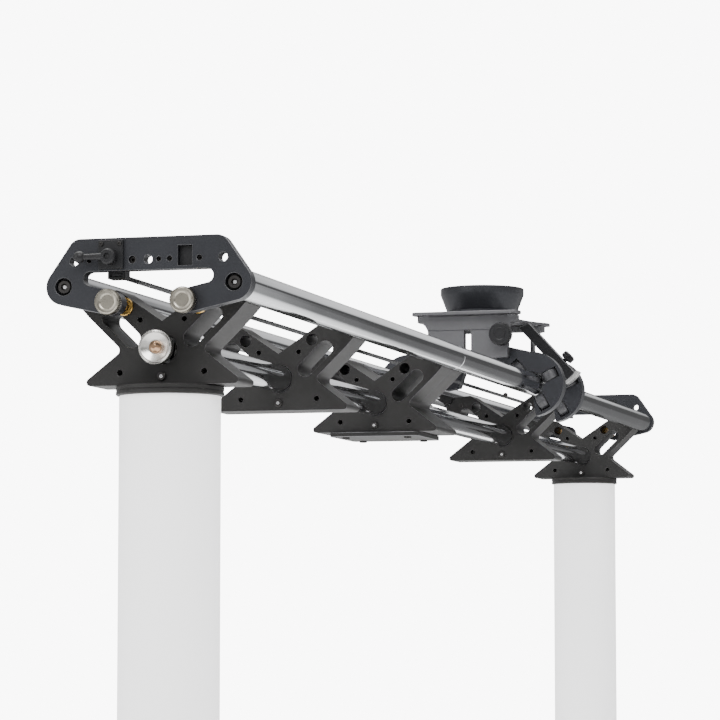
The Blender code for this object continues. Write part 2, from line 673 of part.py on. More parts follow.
def deckOutline():
    """Length along X, width along Y, with concave sides and pointed, rounded corners."""
    halfX = DECK_LENGTH / 2
    halfY = DECK_WIDTH / 2
    corner = DECK_CORNER_RADIUS
    chord = halfX - corner * 2
    radius = (chord ** 2 + DECK_WAIST_DEPTH ** 2) / (2 * DECK_WAIST_DEPTH)
    spread = math.asin(chord / radius)
    quarter = arc(0, halfY - DECK_WAIST_DEPTH + radius, radius, -math.pi / 2, -math.pi / 2 + spread, 10)
    quarter += arc(halfX - corner, halfY - corner, corner, math.pi / 2, 0, 6)
    half = quarter + [(x, -y) for x, y in reversed(quarter)]
    return half + [(-x, y) for x, y in reversed(half)][1:-1]


def cornerCutout(signX, signY):
    """A long window that leaves a thin pointed loop at a deck corner."""
    innerX, innerY, innerRadius = CUTOUT_INNER
    outerX, outerY, outerRadius = CUTOUT_OUTER
    inner = (DECK_LENGTH / 2 - innerX, DECK_WIDTH / 2 - innerY)
    outer = (DECK_LENGTH / 2 - outerX, DECK_WIDTH / 2 - outerY)
    span = math.hypot(outer[0] - inner[0], outer[1] - inner[1])
    lean = math.atan2(outer[1] - inner[1], outer[0] - inner[0])
    tangent = math.acos((innerRadius - outerRadius) / span)
    loop = arc(inner[0], inner[1], innerRadius, lean + tangent, lean + 2 * math.pi - tangent, 10)
    loop += arc(outer[0], outer[1], outerRadius, lean - tangent, lean + tangent, 5)
    return [(signX * x, signY * y) for x, y in loop]


def carriageDeck():
    holes = [circle(0, 0, BOWL_HOLE_RADIUS + DECK_HOLE_RIM)]
    holes += [cornerCutout(signX, signY) for signX in (1, -1) for signY in (1, -1)]
    bottom = DECK_UNDERSIDE
    top = DECK_UNDERSIDE + DECK_THICKNESS
    mesh = prism(deckOutline(), bottom, top, [throughHole(loop, bottom, top) for loop in holes])
    # the prism's X becomes height; its Y runs along the rails and its Z across
    mesh.transform(Matrix(((0, 1, 0, CARRIAGE_X), (0, 0, 1, 0), (1, 0, 0, 0), (0, 0, 0, 1))))
    bmesh.ops.recalc_face_normals(mesh, faces=mesh.faces)
    addPiece("carriage_deck", mesh, greyAnodise())


def bowl():
    """The 100 mm bowl that a tripod head sits in."""
    base = DECK_UNDERSIDE + DECK_THICKNESS + FIT_GAP
    rim = BOWL_HEIGHT
    outer = [(0, BOWL_HOLE_RADIUS), (0, BOWL_BASE_RADIUS), (rim * BOWL_FOOT_SHARE, BOWL_BASE_RADIUS),
             (rim * (1 - BOWL_RIM_SHARE), BOWL_RIM_RADIUS), (rim, BOWL_RIM_RADIUS)]
    inner = []
    deepest = math.acos(BOWL_HOLE_RADIUS / BOWL_SEAT_RADIUS)
    depthScale = (rim - BOWL_FLOOR) / (BOWL_SEAT_RADIUS * math.sin(deepest))
    for index in range(BOWL_STEPS + 1):
        angle = deepest * index / BOWL_STEPS
        inner.append((rim - BOWL_SEAT_RADIUS * math.sin(angle) * depthScale,
                      BOWL_SEAT_RADIUS * math.cos(angle)))
    mesh = aimed(turned(outer + inner, 32), (CARRIAGE_X, 0, base), (0, 0, 1))
    addPiece("head_bowl", mesh, plateAnodise())


def riserOutline():
    top = DECK_UNDERSIDE - FIT_GAP
    half = [(0, top), (RISER_TOP_HALF, top), (RISER_TOP_HALF, top - RISER_LIP)]
    scoop = RISER_TOP_HALF - RISER_BOTTOM_HALF
    half += arc(RISER_TOP_HALF, top - RISER_LIP - scoop, scoop, math.pi / 2, math.pi, 6)[1:]
    half += [(RISER_BOTTOM_HALF, RISER_BOTTOM), (0, RISER_BOTTOM)]
    return half + [(-y, z) for y, z in reversed(half[1:-1])]


def window(left, right, bottom, top):
    return [(left, bottom), (right, bottom), (right, top), (left, top)]


def risers():
    """The front riser has a slit and the lock's hole, the rear one two windows."""
    frontLoops = [window(-RISER_SLIT_WIDTH / 2, RISER_SLIT_WIDTH / 2, RISER_SLIT_BOTTOM, RISER_SLIT_TOP),
                  circle(LOCK_KNOB_Y, LOCK_KNOB_Z, LOCK_SHAFT_RADIUS + SCREW_TURN_GAP, SMALL_STEPS)]
    rearLoops = [window(REAR_WINDOW_INNER, REAR_WINDOW_OUTER, REAR_WINDOW_BOTTOM, REAR_WINDOW_TOP),
                 window(-REAR_WINDOW_OUTER, -REAR_WINDOW_INNER, REAR_WINDOW_BOTTOM, REAR_WINDOW_TOP)]
    for name, start, loops in (("front", RISER_FRONT, frontLoops),
                               ("rear", RISER_REAR - RISER_THICKNESS, rearLoops)):
        end = start + RISER_THICKNESS
        holes = [throughHole(loop, start, end) for loop in loops]
        addPiece(f"riser_{name}", prism(riserOutline(), start, end, holes), greyAnodise())


def lockKnob():
    """Carriage lock on the front riser."""
    outer = -KNOB_STANDOFF - LOCK_KNOB_LENGTH
    tail = RISER_THICKNESS + LOCK_SHAFT_END
    profile = [(outer, 0), (outer, LOCK_KNOB_RADIUS - RIM_CHAMFER),
               (outer + RIM_CHAMFER, LOCK_KNOB_RADIUS), (-KNOB_STANDOFF, LOCK_KNOB_RADIUS),
               (-KNOB_STANDOFF, LOCK_SHAFT_RADIUS), (tail, LOCK_SHAFT_RADIUS), (tail, 0)]
    pivot = (RISER_FRONT, LOCK_KNOB_Y, LOCK_KNOB_Z)
    addPiece("lock_knob", aimed(turned(profile, 20), pivot, (1, 0, 0)), blackPlastic(), pivot)


def radial(angle, distance, offset=0.0):
    """Inward distance from the rail axis and height, for an angle from straight up."""
    inward = -distance * math.sin(angle) - offset * math.cos(angle)
    height = distance * math.cos(angle) - offset * math.sin(angle)
    return inward, height


def yokeOutline():
    """C round the rail, open towards the bracket saddle, with a notch for each roller."""
    points = []
    for index in range(YOKE_STEPS + 1):
        angle = YOKE_END * (1 - index / YOKE_STEPS)
        points.append(radial(angle, YOKE_OUTER_RADIUS))
    points += [(YOKE_ARM_REACH, YOKE_ARM_TOP), (YOKE_ARM_REACH, YOKE_ARM_BOTTOM)]
    points.append(radial(YOKE_START, YOKE_OUTER_RADIUS - YOKE_TAIL_CHAMFER))
    points.append(radial(YOKE_START, YOKE_INNER_RADIUS))
    halfNotch = ROLLER_WIDTH / 2 + ROLLER_SIDE_GAP
    notchTop = SEAT_RADIUS + 2 * ROLLER_RADIUS + ROLLER_TOP_GAP
    notchStart = math.sqrt(YOKE_INNER_RADIUS ** 2 - halfNotch ** 2)
    for angle in sorted(ROLLER_ANGLES.values()):
        points.append(radial(angle, notchStart, -halfNotch))
        points.append(radial(angle, notchTop, -halfNotch))
        points.append(radial(angle, notchTop, halfNotch))
        points.append(radial(angle, notchStart, halfNotch))
    points.append(radial(YOKE_END, YOKE_INNER_RADIUS))
    return points


def rollerSpots():
    """Each roller's name, side, middle and axle direction, in slider coordinates."""
    spots = []
    distance = SEAT_RADIUS + ROLLER_RADIUS
    yokeMiddle = RISER_THICKNESS + FIT_GAP + YOKE_THICKNESS / 2
    places = {"front": RISER_FRONT + yokeMiddle, "rear": RISER_REAR - yokeMiddle}
    for placeName, middle in places.items():
        for sideName, side in SIDES.items():
            for rollerName, angle in ROLLER_ANGLES.items():
                inward, height = radial(angle, distance)
                axleY, axleZ = radial(angle, 0, 1)
                centre = (middle, side * (RAIL_Y - inward), height)
                spots.append((f"{placeName}_{sideName}", rollerName, centre, (0, -side * axleY, axleZ)))
    return spots


def yokes():
    outline = yokeOutline()
    for corner in sorted({spot[0] for spot in rollerSpots()}):
        side = SIDES[corner.split("_")[1]]
        spots = [spot for spot in rollerSpots() if spot[0] == corner]
        middle = spots[0][2][0]
        placed = [(side * (RAIL_Y - inward), height) for inward, height in outline]
        mesh = prism(placed, middle - YOKE_THICKNESS / 2, middle + YOKE_THICKNESS / 2)
        yoke = addPiece(f"yoke_{corner}", mesh, plateAnodise())
        drills = []
        reach = AXLE_LENGTH / 2 + FIT_GAP
        for _, _, centre, axle in spots:
            drill = turned([(-reach, 0), (-reach, AXLE_RADIUS + AXLE_HOLE_GAP),
                            (reach, AXLE_RADIUS + AXLE_HOLE_GAP), (reach, 0)], 12)
            drills.append(aimed(drill, centre, axle))
        cutAway(yoke, joined(drills), f"cutter_axles_{corner}")


def rollers():
    """Rollers with their axles; each turns about its own axle on the rail."""
    half = ROLLER_WIDTH / 2
    axleHalf = AXLE_LENGTH / 2
    profile = [(-axleHalf, 0), (-axleHalf, AXLE_RADIUS), (-half, AXLE_RADIUS), (-half, ROLLER_RADIUS),
               (half, ROLLER_RADIUS), (half, AXLE_RADIUS), (axleHalf, AXLE_RADIUS), (axleHalf, 0)]
    for corner, rollerName, centre, axle in rollerSpots():
        mesh = aimed(turned(profile, 16), centre, axle)
        addPiece(f"roller_{corner}_{rollerName}", mesh, rollerUrethane(), centre)


def braceFrame(side):
    """Upper end, unit direction down the brace and unit direction outwards from it, in YZ."""
    run = Vector((BRACE_FOOT[0] - BRACE_TOP[0], BRACE_FOOT[1] - BRACE_TOP[1]))
    length = run.length
    run.normalize()
    top = Vector((side * BRACE_TOP[0], BRACE_TOP[1]))
    down = Vector((side * run.x, run.y))
    out = Vector((-side * run.y, run.x))
    return top, down, out, length


def braces():
    """Slanting braces from the deck down in front of the rear yokes, and their thumb screws."""
    end = RISER_REAR - RISER_THICKNESS - FIT_GAP - YOKE_THICKNESS - BRACE_YOKE_GAP
    start = end - BRACE_WIDTH
    for sideName, side in SIDES.items():
        top, down, out, length = braceFrame(side)
        half = BRACE_HALF_THICKNESS
        ceiling = DECK_UNDERSIDE - FIT_GAP
        upperOut = top + out * half
        upperOut += down * (upperOut.y - ceiling) / -down.y
        bottom = top + down * length
        corners = [upperOut, top - out * half, bottom - out * half, bottom + out * half]
        outline = [(corner.x, corner.y) for corner in corners]
        middle = (start + end) / 2
        brace = addPiece(f"brace_{sideName}", prism(outline, start, end), blackPlastic())
        foot = top + down * THUMB_PLACE
        axis = (0, out.x, out.y)
        centre = (middle, foot.x, foot.y)
        bore = THUMB_SHAFT_RADIUS + SCREW_TURN_GAP
        depth = half + CUT_MARGIN
        drill = turned([(-depth, 0), (-depth, bore), (depth, bore), (depth, 0)], 12)
        cutAway(brace, aimed(drill, centre, axis), f"cutter_thumb_{sideName}")
        low = half + THUMB_STANDOFF
        high = low + THUMB_LENGTH
        profile = [(-half, 0), (-half, THUMB_SHAFT_RADIUS), (low, THUMB_SHAFT_RADIUS),
                   (low, THUMB_RADIUS), (high - RIM_CHAMFER, THUMB_RADIUS),
                   (high, THUMB_RADIUS - RIM_CHAMFER), (high, 0)]
        screw = aimed(turned(profile, 16), centre, axis)
        addPiece(f"thumb_screw_{sideName}", screw, blackPlastic(), centre)


# ---------- the whole slider ----------

for old in list(bpy.data.objects):
    bpy.data.objects.remove(old, do_unlink=True)

slider = bpy.data.objects.new("slider_frame", None)
bpy.context.scene.collection.objects.link(slider)
slider.location = (-ORIGIN_X, 0, STAND_HEIGHT)

endPlates()
railBolts()
tubes()
crossBrackets()
brassNuts()
moduleScrews()
pucks()
jointPlate()
timingBelt()
beltClamps()
tensionLever()
carriageDeck()
bowl()
risers()
lockKnob()
yokes()
rollers()
braces()
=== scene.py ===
import json
from math import acos, asin, atan2, copysign, cos, dist, hypot, pi, radians, sin, sqrt, tan

import bmesh
import bpy
from mathutils import Matrix, Vector


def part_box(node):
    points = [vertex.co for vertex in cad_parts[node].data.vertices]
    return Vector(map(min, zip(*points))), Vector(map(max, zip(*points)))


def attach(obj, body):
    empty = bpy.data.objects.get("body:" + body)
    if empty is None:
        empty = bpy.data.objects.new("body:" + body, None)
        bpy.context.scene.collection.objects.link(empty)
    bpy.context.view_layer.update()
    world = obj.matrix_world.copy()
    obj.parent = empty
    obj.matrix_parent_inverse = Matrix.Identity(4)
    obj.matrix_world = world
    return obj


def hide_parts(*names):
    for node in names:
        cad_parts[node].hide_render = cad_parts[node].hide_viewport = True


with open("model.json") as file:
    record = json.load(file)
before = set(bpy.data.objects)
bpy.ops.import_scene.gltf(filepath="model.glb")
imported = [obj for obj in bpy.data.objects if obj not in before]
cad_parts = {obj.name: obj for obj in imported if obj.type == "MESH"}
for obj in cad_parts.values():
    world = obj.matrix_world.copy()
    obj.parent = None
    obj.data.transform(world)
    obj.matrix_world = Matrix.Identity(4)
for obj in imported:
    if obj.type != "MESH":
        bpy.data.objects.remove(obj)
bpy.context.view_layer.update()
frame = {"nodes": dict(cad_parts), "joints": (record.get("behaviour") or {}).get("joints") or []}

scene = bpy.context.scene
print("frame loaded:", len(frame["nodes"]), "nodes")


# a dictionary whose values can also be read as names
class Values(dict):
    __getattr__ = dict.__getitem__


# nodes for paints, world and repeats are all added in one way

def addNode(tree, kind, values=None, **settings):
    made = tree.nodes.new(kind)
    for key, value in settings.items():
        setattr(made, key, value)
    for key, value in (values or {}).items():
        value = value.socket if isinstance(value, Field) else value
        if isinstance(value, bpy.types.NodeSocket):
            tree.links.new(value, made.inputs[key])
        else:
            made.inputs[key].default_value = value
    return made


def colourRamp(tree, amount, stops):
    made = addNode(tree, "ShaderNodeValToRGB", {"Fac": amount})
    elements = made.color_ramp.elements
    for index, (position, colour) in enumerate(stops):
        stop = elements[index] if index < 2 else elements.new(position)
        stop.position = position
        stop.color = (*colour, 1)
    return made.outputs["Color"]


# a small wrapper so that shader sums read as sums

class Field:
    def __init__(self, tree, socket):
        self.tree = tree
        self.socket = socket

    def combine(self, operation, other):
        made = addNode(self.tree, "ShaderNodeMath", {0: self, 1: other}, operation=operation)
        return Field(self.tree, made.outputs[0])

    def __add__(self, other):
        return self.combine("ADD", other)

    __radd__ = __add__

    def __mul__(self, other):
        return self.combine("MULTIPLY", other)


class Paint:
    def __init__(self, name, **fixed):
        self.material = bpy.data.materials.new(name)
        self.material.use_nodes = True
        self.tree = self.material.node_tree
        self.shader = self.tree.nodes["Principled BSDF"]
        for socketName, value in fixed.items():
            self.shader.inputs[socketName.replace("_", " ")].default_value = value

    def node(self, kind, values, output=0, **settings):
        return Field(self.tree, addNode(self.tree, kind, values, **settings).outputs[output])

    def place(self, stretch=(1, 1, 1)):
        coords = self.node("ShaderNodeTexCoord", {}, "Object")
        return self.node("ShaderNodeMapping", {"Vector": coords, "Scale": stretch})

    def noise(self, size, stretch=(1, 1, 1), detail=3.0, rough=0.5):
        values = {"Vector": self.place(stretch), "Scale": 1 / size, "Detail": detail, "Roughness": rough}
        return self.node("ShaderNodeTexNoise", values, "Fac", noise_dimensions="3D")

    def shade(self, socketName, value):
        self.tree.links.new(value.socket, self.shader.inputs[socketName])

    def bump(self, height, strength, depth):
        values = {"Height": height, "Strength": strength, "Distance": depth}
        self.shade("Normal", self.node("ShaderNodeBump", values, "Normal"))

    def tones(self, amount, colour, spread):
        darker = tuple(part * (1 - spread) for part in colour)
        lighter = tuple(min(1, part * (1 + spread)) for part in colour)
        ramp = colourRamp(self.tree, amount, [(0.25, darker), (0.75, lighter)])
        self.shade("Base Color", Field(self.tree, ramp))


finishes = {
    "plateGrey": dict(colour=(0.025, 0.026, 0.030), rough=0.42, grain=0.00055, metal=0.50, gloss=0.35),
    "bracketBlack": dict(colour=(0.023, 0.0225, 0.022), rough=0.45, grain=0.0006, metal=0.04, gloss=0.14),
    "blastedGrey": dict(colour=(0.105, 0.105, 0.110), rough=0.48, grain=0.0005, metal=0.65),
    "softBlack": dict(colour=(0.010, 0.010, 0.011), rough=0.40, grain=0.0009, metal=0.0, gloss=0.26),
    "paleGrey": dict(colour=(0.42, 0.42, 0.41), rough=0.42, grain=0.0005, metal=0.6),
    # edges rounded by the bevel get this lighter metal: edge wear plus a painted highlight along the chamfers
    "edgeWearAndPaintedHighlight": dict(colour=(0.13, 0.13, 0.135), rough=0.34, grain=0.0008, metal=0.85),
}


def blastedMetal(name):
    look = finishes[name]
    paint = Paint(name, Metallic=look["metal"], Specular_IOR_Level=look.get("gloss", 0.5))
    fine = paint.noise(look["grain"], detail=2.0)
    broad = paint.noise(0.045, detail=4.0, rough=0.6)
    rubs = paint.noise(0.004, (0.12, 1, 1), detail=3.0)
    paint.tones(broad * 0.65 + fine * 0.35, look["colour"], 0.16)
    paint.shade("Roughness", look["rough"] - 0.09 + fine * 0.08 + broad * 0.06 + rubs * 0.05)
    paint.bump(fine * 0.8 + rubs * 0.2, 0.25, 0.00006)
    return paint.material


def mirrorTube():
    paint = Paint("mirrorTube", Metallic=1.0)
    lines = paint.noise(0.0006, (0.004, 1, 1), detail=2.0)
    smear = paint.noise(0.05, (0.35, 1, 1), detail=5.0, rough=0.65)
    paint.tones(smear, (0.60, 0.61, 0.625), 0.06)
    paint.shade("Roughness", 0.035 + smear * 0.07 + lines * 0.02)
    paint.bump(lines, 0.03, 0.00002)
    return paint.material


def turnedMetal(name, colour, rough, across=(0.05, 1, 1)):
    paint = Paint(name, Metallic=1.0)
    rings = paint.noise(0.0007, across, detail=2.0)
    stain = paint.noise(0.009, detail=4.0, rough=0.6)
    paint.tones(stain * 0.7 + rings * 0.3, colour, 0.14)
    paint.shade("Roughness", rough - 0.06 + stain * 0.10 + rings * 0.05)
    paint.bump(rings, 0.12, 0.00004)
    return paint.material


def beltRubber():
    paint = Paint("beltRubber", Metallic=0.0)
    weave = paint.noise(0.0008, (0.3, 1, 1), detail=2.0)
    dust = paint.noise(0.03, (0.3, 1, 1), detail=5.0, rough=0.65)
    paint.tones(weave * 0.5 + dust * 0.5, (0.022, 0.022, 0.024), 0.35)
    paint.shade("Roughness", 0.55 + dust * 0.2)
    paint.bump(weave, 0.4, 0.0001)
    return paint.material


def rollerTread():
    paint = Paint("rollerTread", Metallic=0.0)
    mottle = paint.noise(0.004, detail=4.0, rough=0.6)
    fine = paint.noise(0.0005, detail=2.0)
    paint.tones(mottle, (0.035, 0.035, 0.038), 0.20)
    paint.shade("Roughness", 0.30 + mottle * 0.14 + fine * 0.05)
    paint.bump(fine, 0.15, 0.00005)
    return paint.material


paints = {name: blastedMetal(name) for name in finishes}
paints["mirrorTube"] = mirrorTube()
paints["knurledNickel"] = turnedMetal("knurledNickel", (0.31, 0.29, 0.245), 0.27)
paints["brightNickel"] = turnedMetal("brightNickel", (0.62, 0.61, 0.58), 0.22)
paints["bronzeTip"] = turnedMetal("bronzeTip", (0.42, 0.27, 0.17), 0.20)
paints["turnedBrass"] = turnedMetal("turnedBrass", (0.70, 0.44, 0.13), 0.26)
paints["screwSteel"] = turnedMetal("screwSteel", (0.70, 0.70, 0.71), 0.24, (1, 1, 1))
paints["blackOxide"] = turnedMetal("blackOxide", (0.045, 0.043, 0.042), 0.38, (1, 1, 1))
paints["beltRubber"] = beltRubber()
paints["rollerTread"] = rollerTread()
print("finishes:", len(paints))


# places, all from the CAD boxes

def middleOf(node):
    low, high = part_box(node)
    return (low + high) / 2


railLow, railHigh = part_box("rail_left_first")
railY = (railLow.y + railHigh.y) / 2
railZ = (railLow.z + railHigh.z) / 2
railRadius = (railHigh.z - railLow.z) / 2
spineZ = middleOf("spine_first").z - railZ       # heights are over the rail axes
spineRadius = (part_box("spine_first")[1].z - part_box("spine_first")[0].z) / 2
fitGap = 0.0003
sides = {"left": 1, "right": -1}
ends = {"near": -1, "far": 1}


def endFaces(node, outward):
    low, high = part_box(node)
    return (low.x, high.x) if outward < 0 else (high.x, low.x)


def atEnds(kind):
    for end, outward in ends.items():
        node = f"{kind}_{end}"
        yield node, outward, *endFaces(node, outward)


# solids

def arc(centreY, centreZ, radius, start, end, steps):
    points = []
    for index in range(steps + 1):
        angle = start + (end - start) * index / steps
        points.append((centreY + radius * cos(angle), centreZ + radius * sin(angle)))
    return points


def circle(centreY, centreZ, radius, steps=32):
    return arc(centreY, centreZ, radius, 0, 2 * pi, steps)[:-1]


def fillet(before, corner, after, radius, steps):
    backward = (Vector(before) - Vector(corner)).normalized()
    forward = (Vector(after) - Vector(corner)).normalized()
    halfAngle = backward.angle(forward) / 2
    centre = Vector(corner) + (backward + forward).normalized() * radius / sin(halfAngle)
    start = Vector(corner) + backward * radius / tan(halfAngle) - centre
    sweep = copysign(pi - 2 * halfAngle, backward.x * forward.y - backward.y * forward.x)
    lean = atan2(start.y, start.x)
    return arc(centre.x, centre.y, radius, lean, lean - sweep, steps)


def prism(outline, start, end, holes=()):
    made = bmesh.new()
    rims = ([], [])
    for sections in [[(start, outline), (end, outline)], *holes]:
        rings = [[made.verts.new((x, y, z + railZ)) for y, z in loop] for x, loop in sections]
        for first, second in zip(rings, rings[1:]):
            for index in range(len(first)):
                after = (index + 1) % len(first)
                made.faces.new((first[index], first[after], second[after], second[index]))
        rims[0].append(rings[0])
        rims[1].append(rings[-1])
    for rings in rims:
        edges = []
        for ring in rings:
            for index, vert in enumerate(ring):
                edges.append(made.edges.get((vert, ring[(index + 1) % len(ring)])))
        bmesh.ops.triangle_fill(made, edges=edges, use_beauty=True)
    bmesh.ops.recalc_face_normals(made, faces=made.faces)
    bmesh.ops.dissolve_limit(made, angle_limit=0.001, verts=made.verts, edges=made.edges)
    return made


def through(loop, start, end):
    return [(start, loop), (end, loop)]


def turned(profile, origin, axis, steps=64):
    made = bmesh.new()
    rings = []
    for along, radius in profile:
        count = steps if radius > 0 else 1
        ring = []
        for index in range(count):
            angle = 2 * pi * index / steps
            ring.append(made.verts.new((along, radius * cos(angle), radius * sin(angle))))
        rings.append(ring)
    if len(rings[0]) > 1:
        rings.append(rings[0])
    for first, second in zip(rings, rings[1:]):
        for index in range(steps):
            after = (index + 1) % steps
            corners = [first[index % len(first)], first[after % len(first)],
                second[after % len(second)], second[index % len(second)]]
            made.faces.new(list(dict.fromkeys(corners)))
    bmesh.ops.recalc_face_normals(made, faces=made.faces)
    return aimed(made, origin, axis)


def aimed(made, origin, axis, own=(1, 0, 0)):
    turn = Vector(own).rotation_difference(Vector(axis)).to_matrix().to_4x4()
    made.transform(Matrix.Translation(Vector(origin)) @ turn)
    return made


def rectangle(lowY, lowZ, highY, highZ):
    return [(lowY, lowZ), (highY, lowZ), (highY, highZ), (lowY, highZ)]


def block(low, high):
    return prism(rectangle(low[1], low[2] - railZ, high[1], high[2] - railZ), low[0], high[0])


def lyingPlate(outline, low, high, holes=()):
    tall = high.z - low.z
    made = prism(outline, 0, tall, [through(loop, 0, tall) for loop in holes])
    middleX = (low.x + high.x) / 2
    made.transform(Matrix(((0, 1, 0, middleX), (0, 0, 1, -railZ), (1, 0, 0, low.z), (0, 0, 0, 1))))
    bmesh.ops.recalc_face_normals(made, faces=made.faces)
    return made


def meshFrom(made, name):
    data = bpy.data.meshes.new(name)
    made.to_mesh(data)
    made.free()
    return data


# each part is a bmesh or a mesh, with the name of its paint
def put(name, body, parts, stands=(), edge=0.0, edgePaint="edgeWearAndPaintedHighlight", crease=32):
    whole = bmesh.new()
    names = []
    for part, paintName in parts:
        data = meshFrom(part, name) if isinstance(part, bmesh.types.BMesh) else part
        if paintName not in names:
            names.append(paintName)
        for face in data.polygons:
            face.material_index = names.index(paintName)
        whole.from_mesh(data)
        bpy.data.meshes.remove(data)
    data = meshFrom(whole, name)
    for paintName in names:
        data.materials.append(paints[paintName])
    piece = bpy.data.objects.new(name, data)
    scene.collection.objects.link(piece)
    data.shade_smooth()
    data.set_sharp_from_angle(angle=radians(crease))
    if edge:
        rounding = piece.modifiers.new("edges", "BEVEL")
        rounding.width = edge
        rounding.segments = 2
        rounding.limit_method = "ANGLE"
        rounding.angle_limit = radians(crease)
        rounding.harden_normals = True
        # the bevel faces take the lighter edge paint, a painted highlight as well as edge wear
        if edgePaint:
            data.materials.append(paints[edgePaint])
            rounding.material = len(names)
    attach(piece, body)
    if stands:
        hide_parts(*stands)


# repeats with geometry nodes

def newTree(name, **inputs):
    tree = bpy.data.node_groups.new(name, "GeometryNodeTree")
    for inputName, kind in {**inputs, "Finish": "Material"}.items():
        tree.interface.new_socket(name=inputName, in_out="INPUT", socket_type="NodeSocket" + kind)
    tree.interface.new_socket(name="Geometry", in_out="OUTPUT", socket_type="NodeSocketGeometry")
    return tree, addNode(tree, "NodeGroupInput").outputs


def grow(tree, kind, values, **settings):
    return addNode(tree, kind, values, **settings).outputs[0]


def closeTree(tree, instances, given):
    real = grow(tree, "GeometryNodeRealizeInstances", {"Geometry": instances})
    painted = grow(tree, "GeometryNodeSetMaterial",
        {"Geometry": real, "Material": given["Finish"]})
    addNode(tree, "NodeGroupOutput", {0: painted})
    return tree


def toothRowTree():
    tree, given = newTree("toothRow", Count="Int", Pitch="Float", Tooth="Vector")
    step = grow(tree, "ShaderNodeCombineXYZ", {"X": given["Pitch"]})
    line = grow(tree, "GeometryNodeMeshLine",
        {"Count": given["Count"], "Offset": step})
    tooth = grow(tree, "GeometryNodeMeshCube", {"Size": given["Tooth"]})
    row = grow(tree, "GeometryNodeInstanceOnPoints",
        {"Points": line, "Instance": tooth})
    return closeTree(tree, row, given)


def ridgeRingTree():
    tree, given = newTree("ridgeRing", Count="Int", Radius="Float", Ridge="Vector")
    ring = grow(tree, "GeometryNodeMeshCircle",
        {"Vertices": given["Count"], "Radius": given["Radius"]})
    ridge = grow(tree, "GeometryNodeMeshCube", {"Size": given["Ridge"]})
    corner = grow(tree, "GeometryNodeTransform",
        {"Geometry": ridge, "Rotation": (0, 0, pi / 4)})
    index = grow(tree, "GeometryNodeInputIndex", {})
    share = grow(tree, "ShaderNodeMath", {0: index, 1: given["Count"]},
        operation="DIVIDE")
    angle = grow(tree, "ShaderNodeMath", {0: share, 1: 2 * pi}, operation="MULTIPLY")
    turn = grow(tree, "ShaderNodeCombineXYZ", {"Z": angle})
    ridges = grow(tree, "GeometryNodeInstanceOnPoints",
        {"Points": ring, "Instance": corner, "Rotation": turn})
    return closeTree(tree, ridges, given)


def screwSetTree():
    tree, given = newTree("screwSet", Points="Geometry", Screw="Object")
    screw = addNode(tree, "GeometryNodeObjectInfo", {"Object": given["Screw"]})
    aim = grow(tree, "GeometryNodeInputNamedAttribute", {"Name": "aim"}, data_type="FLOAT_VECTOR")
    turn = grow(tree, "FunctionNodeAlignRotationToVector", {"Vector": aim}, axis="X")
    placed = grow(tree, "GeometryNodeInstanceOnPoints",
        {"Points": given["Points"], "Instance": screw.outputs["Geometry"],
        "Rotation": turn})
    return closeTree(tree, placed, given)


toothRow = toothRowTree()
ridgeRing = ridgeRingTree()
screwSet = screwSetTree()


# the mesh that a tree makes, with nothing live left behind
def grown(tree, values, points=None):
    data = points or bpy.data.meshes.new("seed")
    holder = bpy.data.objects.new("seed", data)
    scene.collection.objects.link(holder)
    build = holder.modifiers.new("build", "NODES")
    build.node_group = tree
    for item in tree.interface.items_tree:
        if item.in_out == "INPUT" and item.name in values:
            build[item.identifier] = values[item.name]
    ready = holder.evaluated_get(bpy.context.evaluated_depsgraph_get())
    made = bpy.data.meshes.new_from_object(ready)
    bpy.data.objects.remove(holder)
    bpy.data.meshes.remove(data)
    return made


def knurl(origin, axis, radius, length, count, paintName, ridge=0.0011):
    ring = grown(ridgeRing, {"Count": count, "Radius": radius - ridge * 0.42,
        "Ridge": (ridge, ridge, length), "Finish": paints[paintName]})
    return aimed(ring, origin, axis, (0, 0, 1))


# a socket-head screw that stands on the YZ plane and points along +X
def capScrew(radius, height, socket, steps=24):
    made = turned([(0, 0), (0, radius), (height * 0.82, radius), (height, radius * 0.86), (height, 0)],
        (0, 0, 0), (1, 0, 0), steps)
    tip = [face for face in made.faces if face.normal.x > 0.9]
    bmesh.ops.dissolve_faces(made, faces=tip)
    made.faces.ensure_lookup_table()
    tip = [face for face in made.faces if face.normal.x > 0.9]
    sunk = bmesh.ops.inset_region(made, faces=tip, thickness=radius * 0.86 - socket, use_even_offset=True)
    floor = [face for face in made.faces if face.normal.x > 0.9 and face.calc_center_median().yz.length < 1e-5
        and face not in sunk["faces"]]
    pushed = bmesh.ops.extrude_face_region(made, geom=floor)
    moved = [part for part in pushed["geom"] if isinstance(part, bmesh.types.BMVert)]
    bmesh.ops.translate(made, verts=moved, vec=(-height * 0.6, 0, 0))
    bmesh.ops.delete(made, geom=floor, context="FACES")
    bmesh.ops.recalc_face_normals(made, faces=made.faces)
    return made


# each place is a point and a direction
def screws(places, radius, height, socket, paintName="blackOxide"):
    model = bpy.data.objects.new("screwModel", meshFrom(capScrew(radius, height, socket), "screwModel"))
    points = bpy.data.meshes.new("places")
    points.from_pydata([tuple(point) for point, _ in places], [], [])
    aim = points.attributes.new("aim", "FLOAT_VECTOR", "POINT")
    for index, (_, direction) in enumerate(places):
        aim.data[index].vector = direction
    made = grown(screwSet, {"Screw": model, "Finish": paints[paintName]}, points)
    data = model.data
    bpy.data.objects.remove(model)
    bpy.data.meshes.remove(data)
    return made


def putScrews(name, body, places, size):
    put(name, body, [(screws(places, *size), "blackOxide")])


# end plates

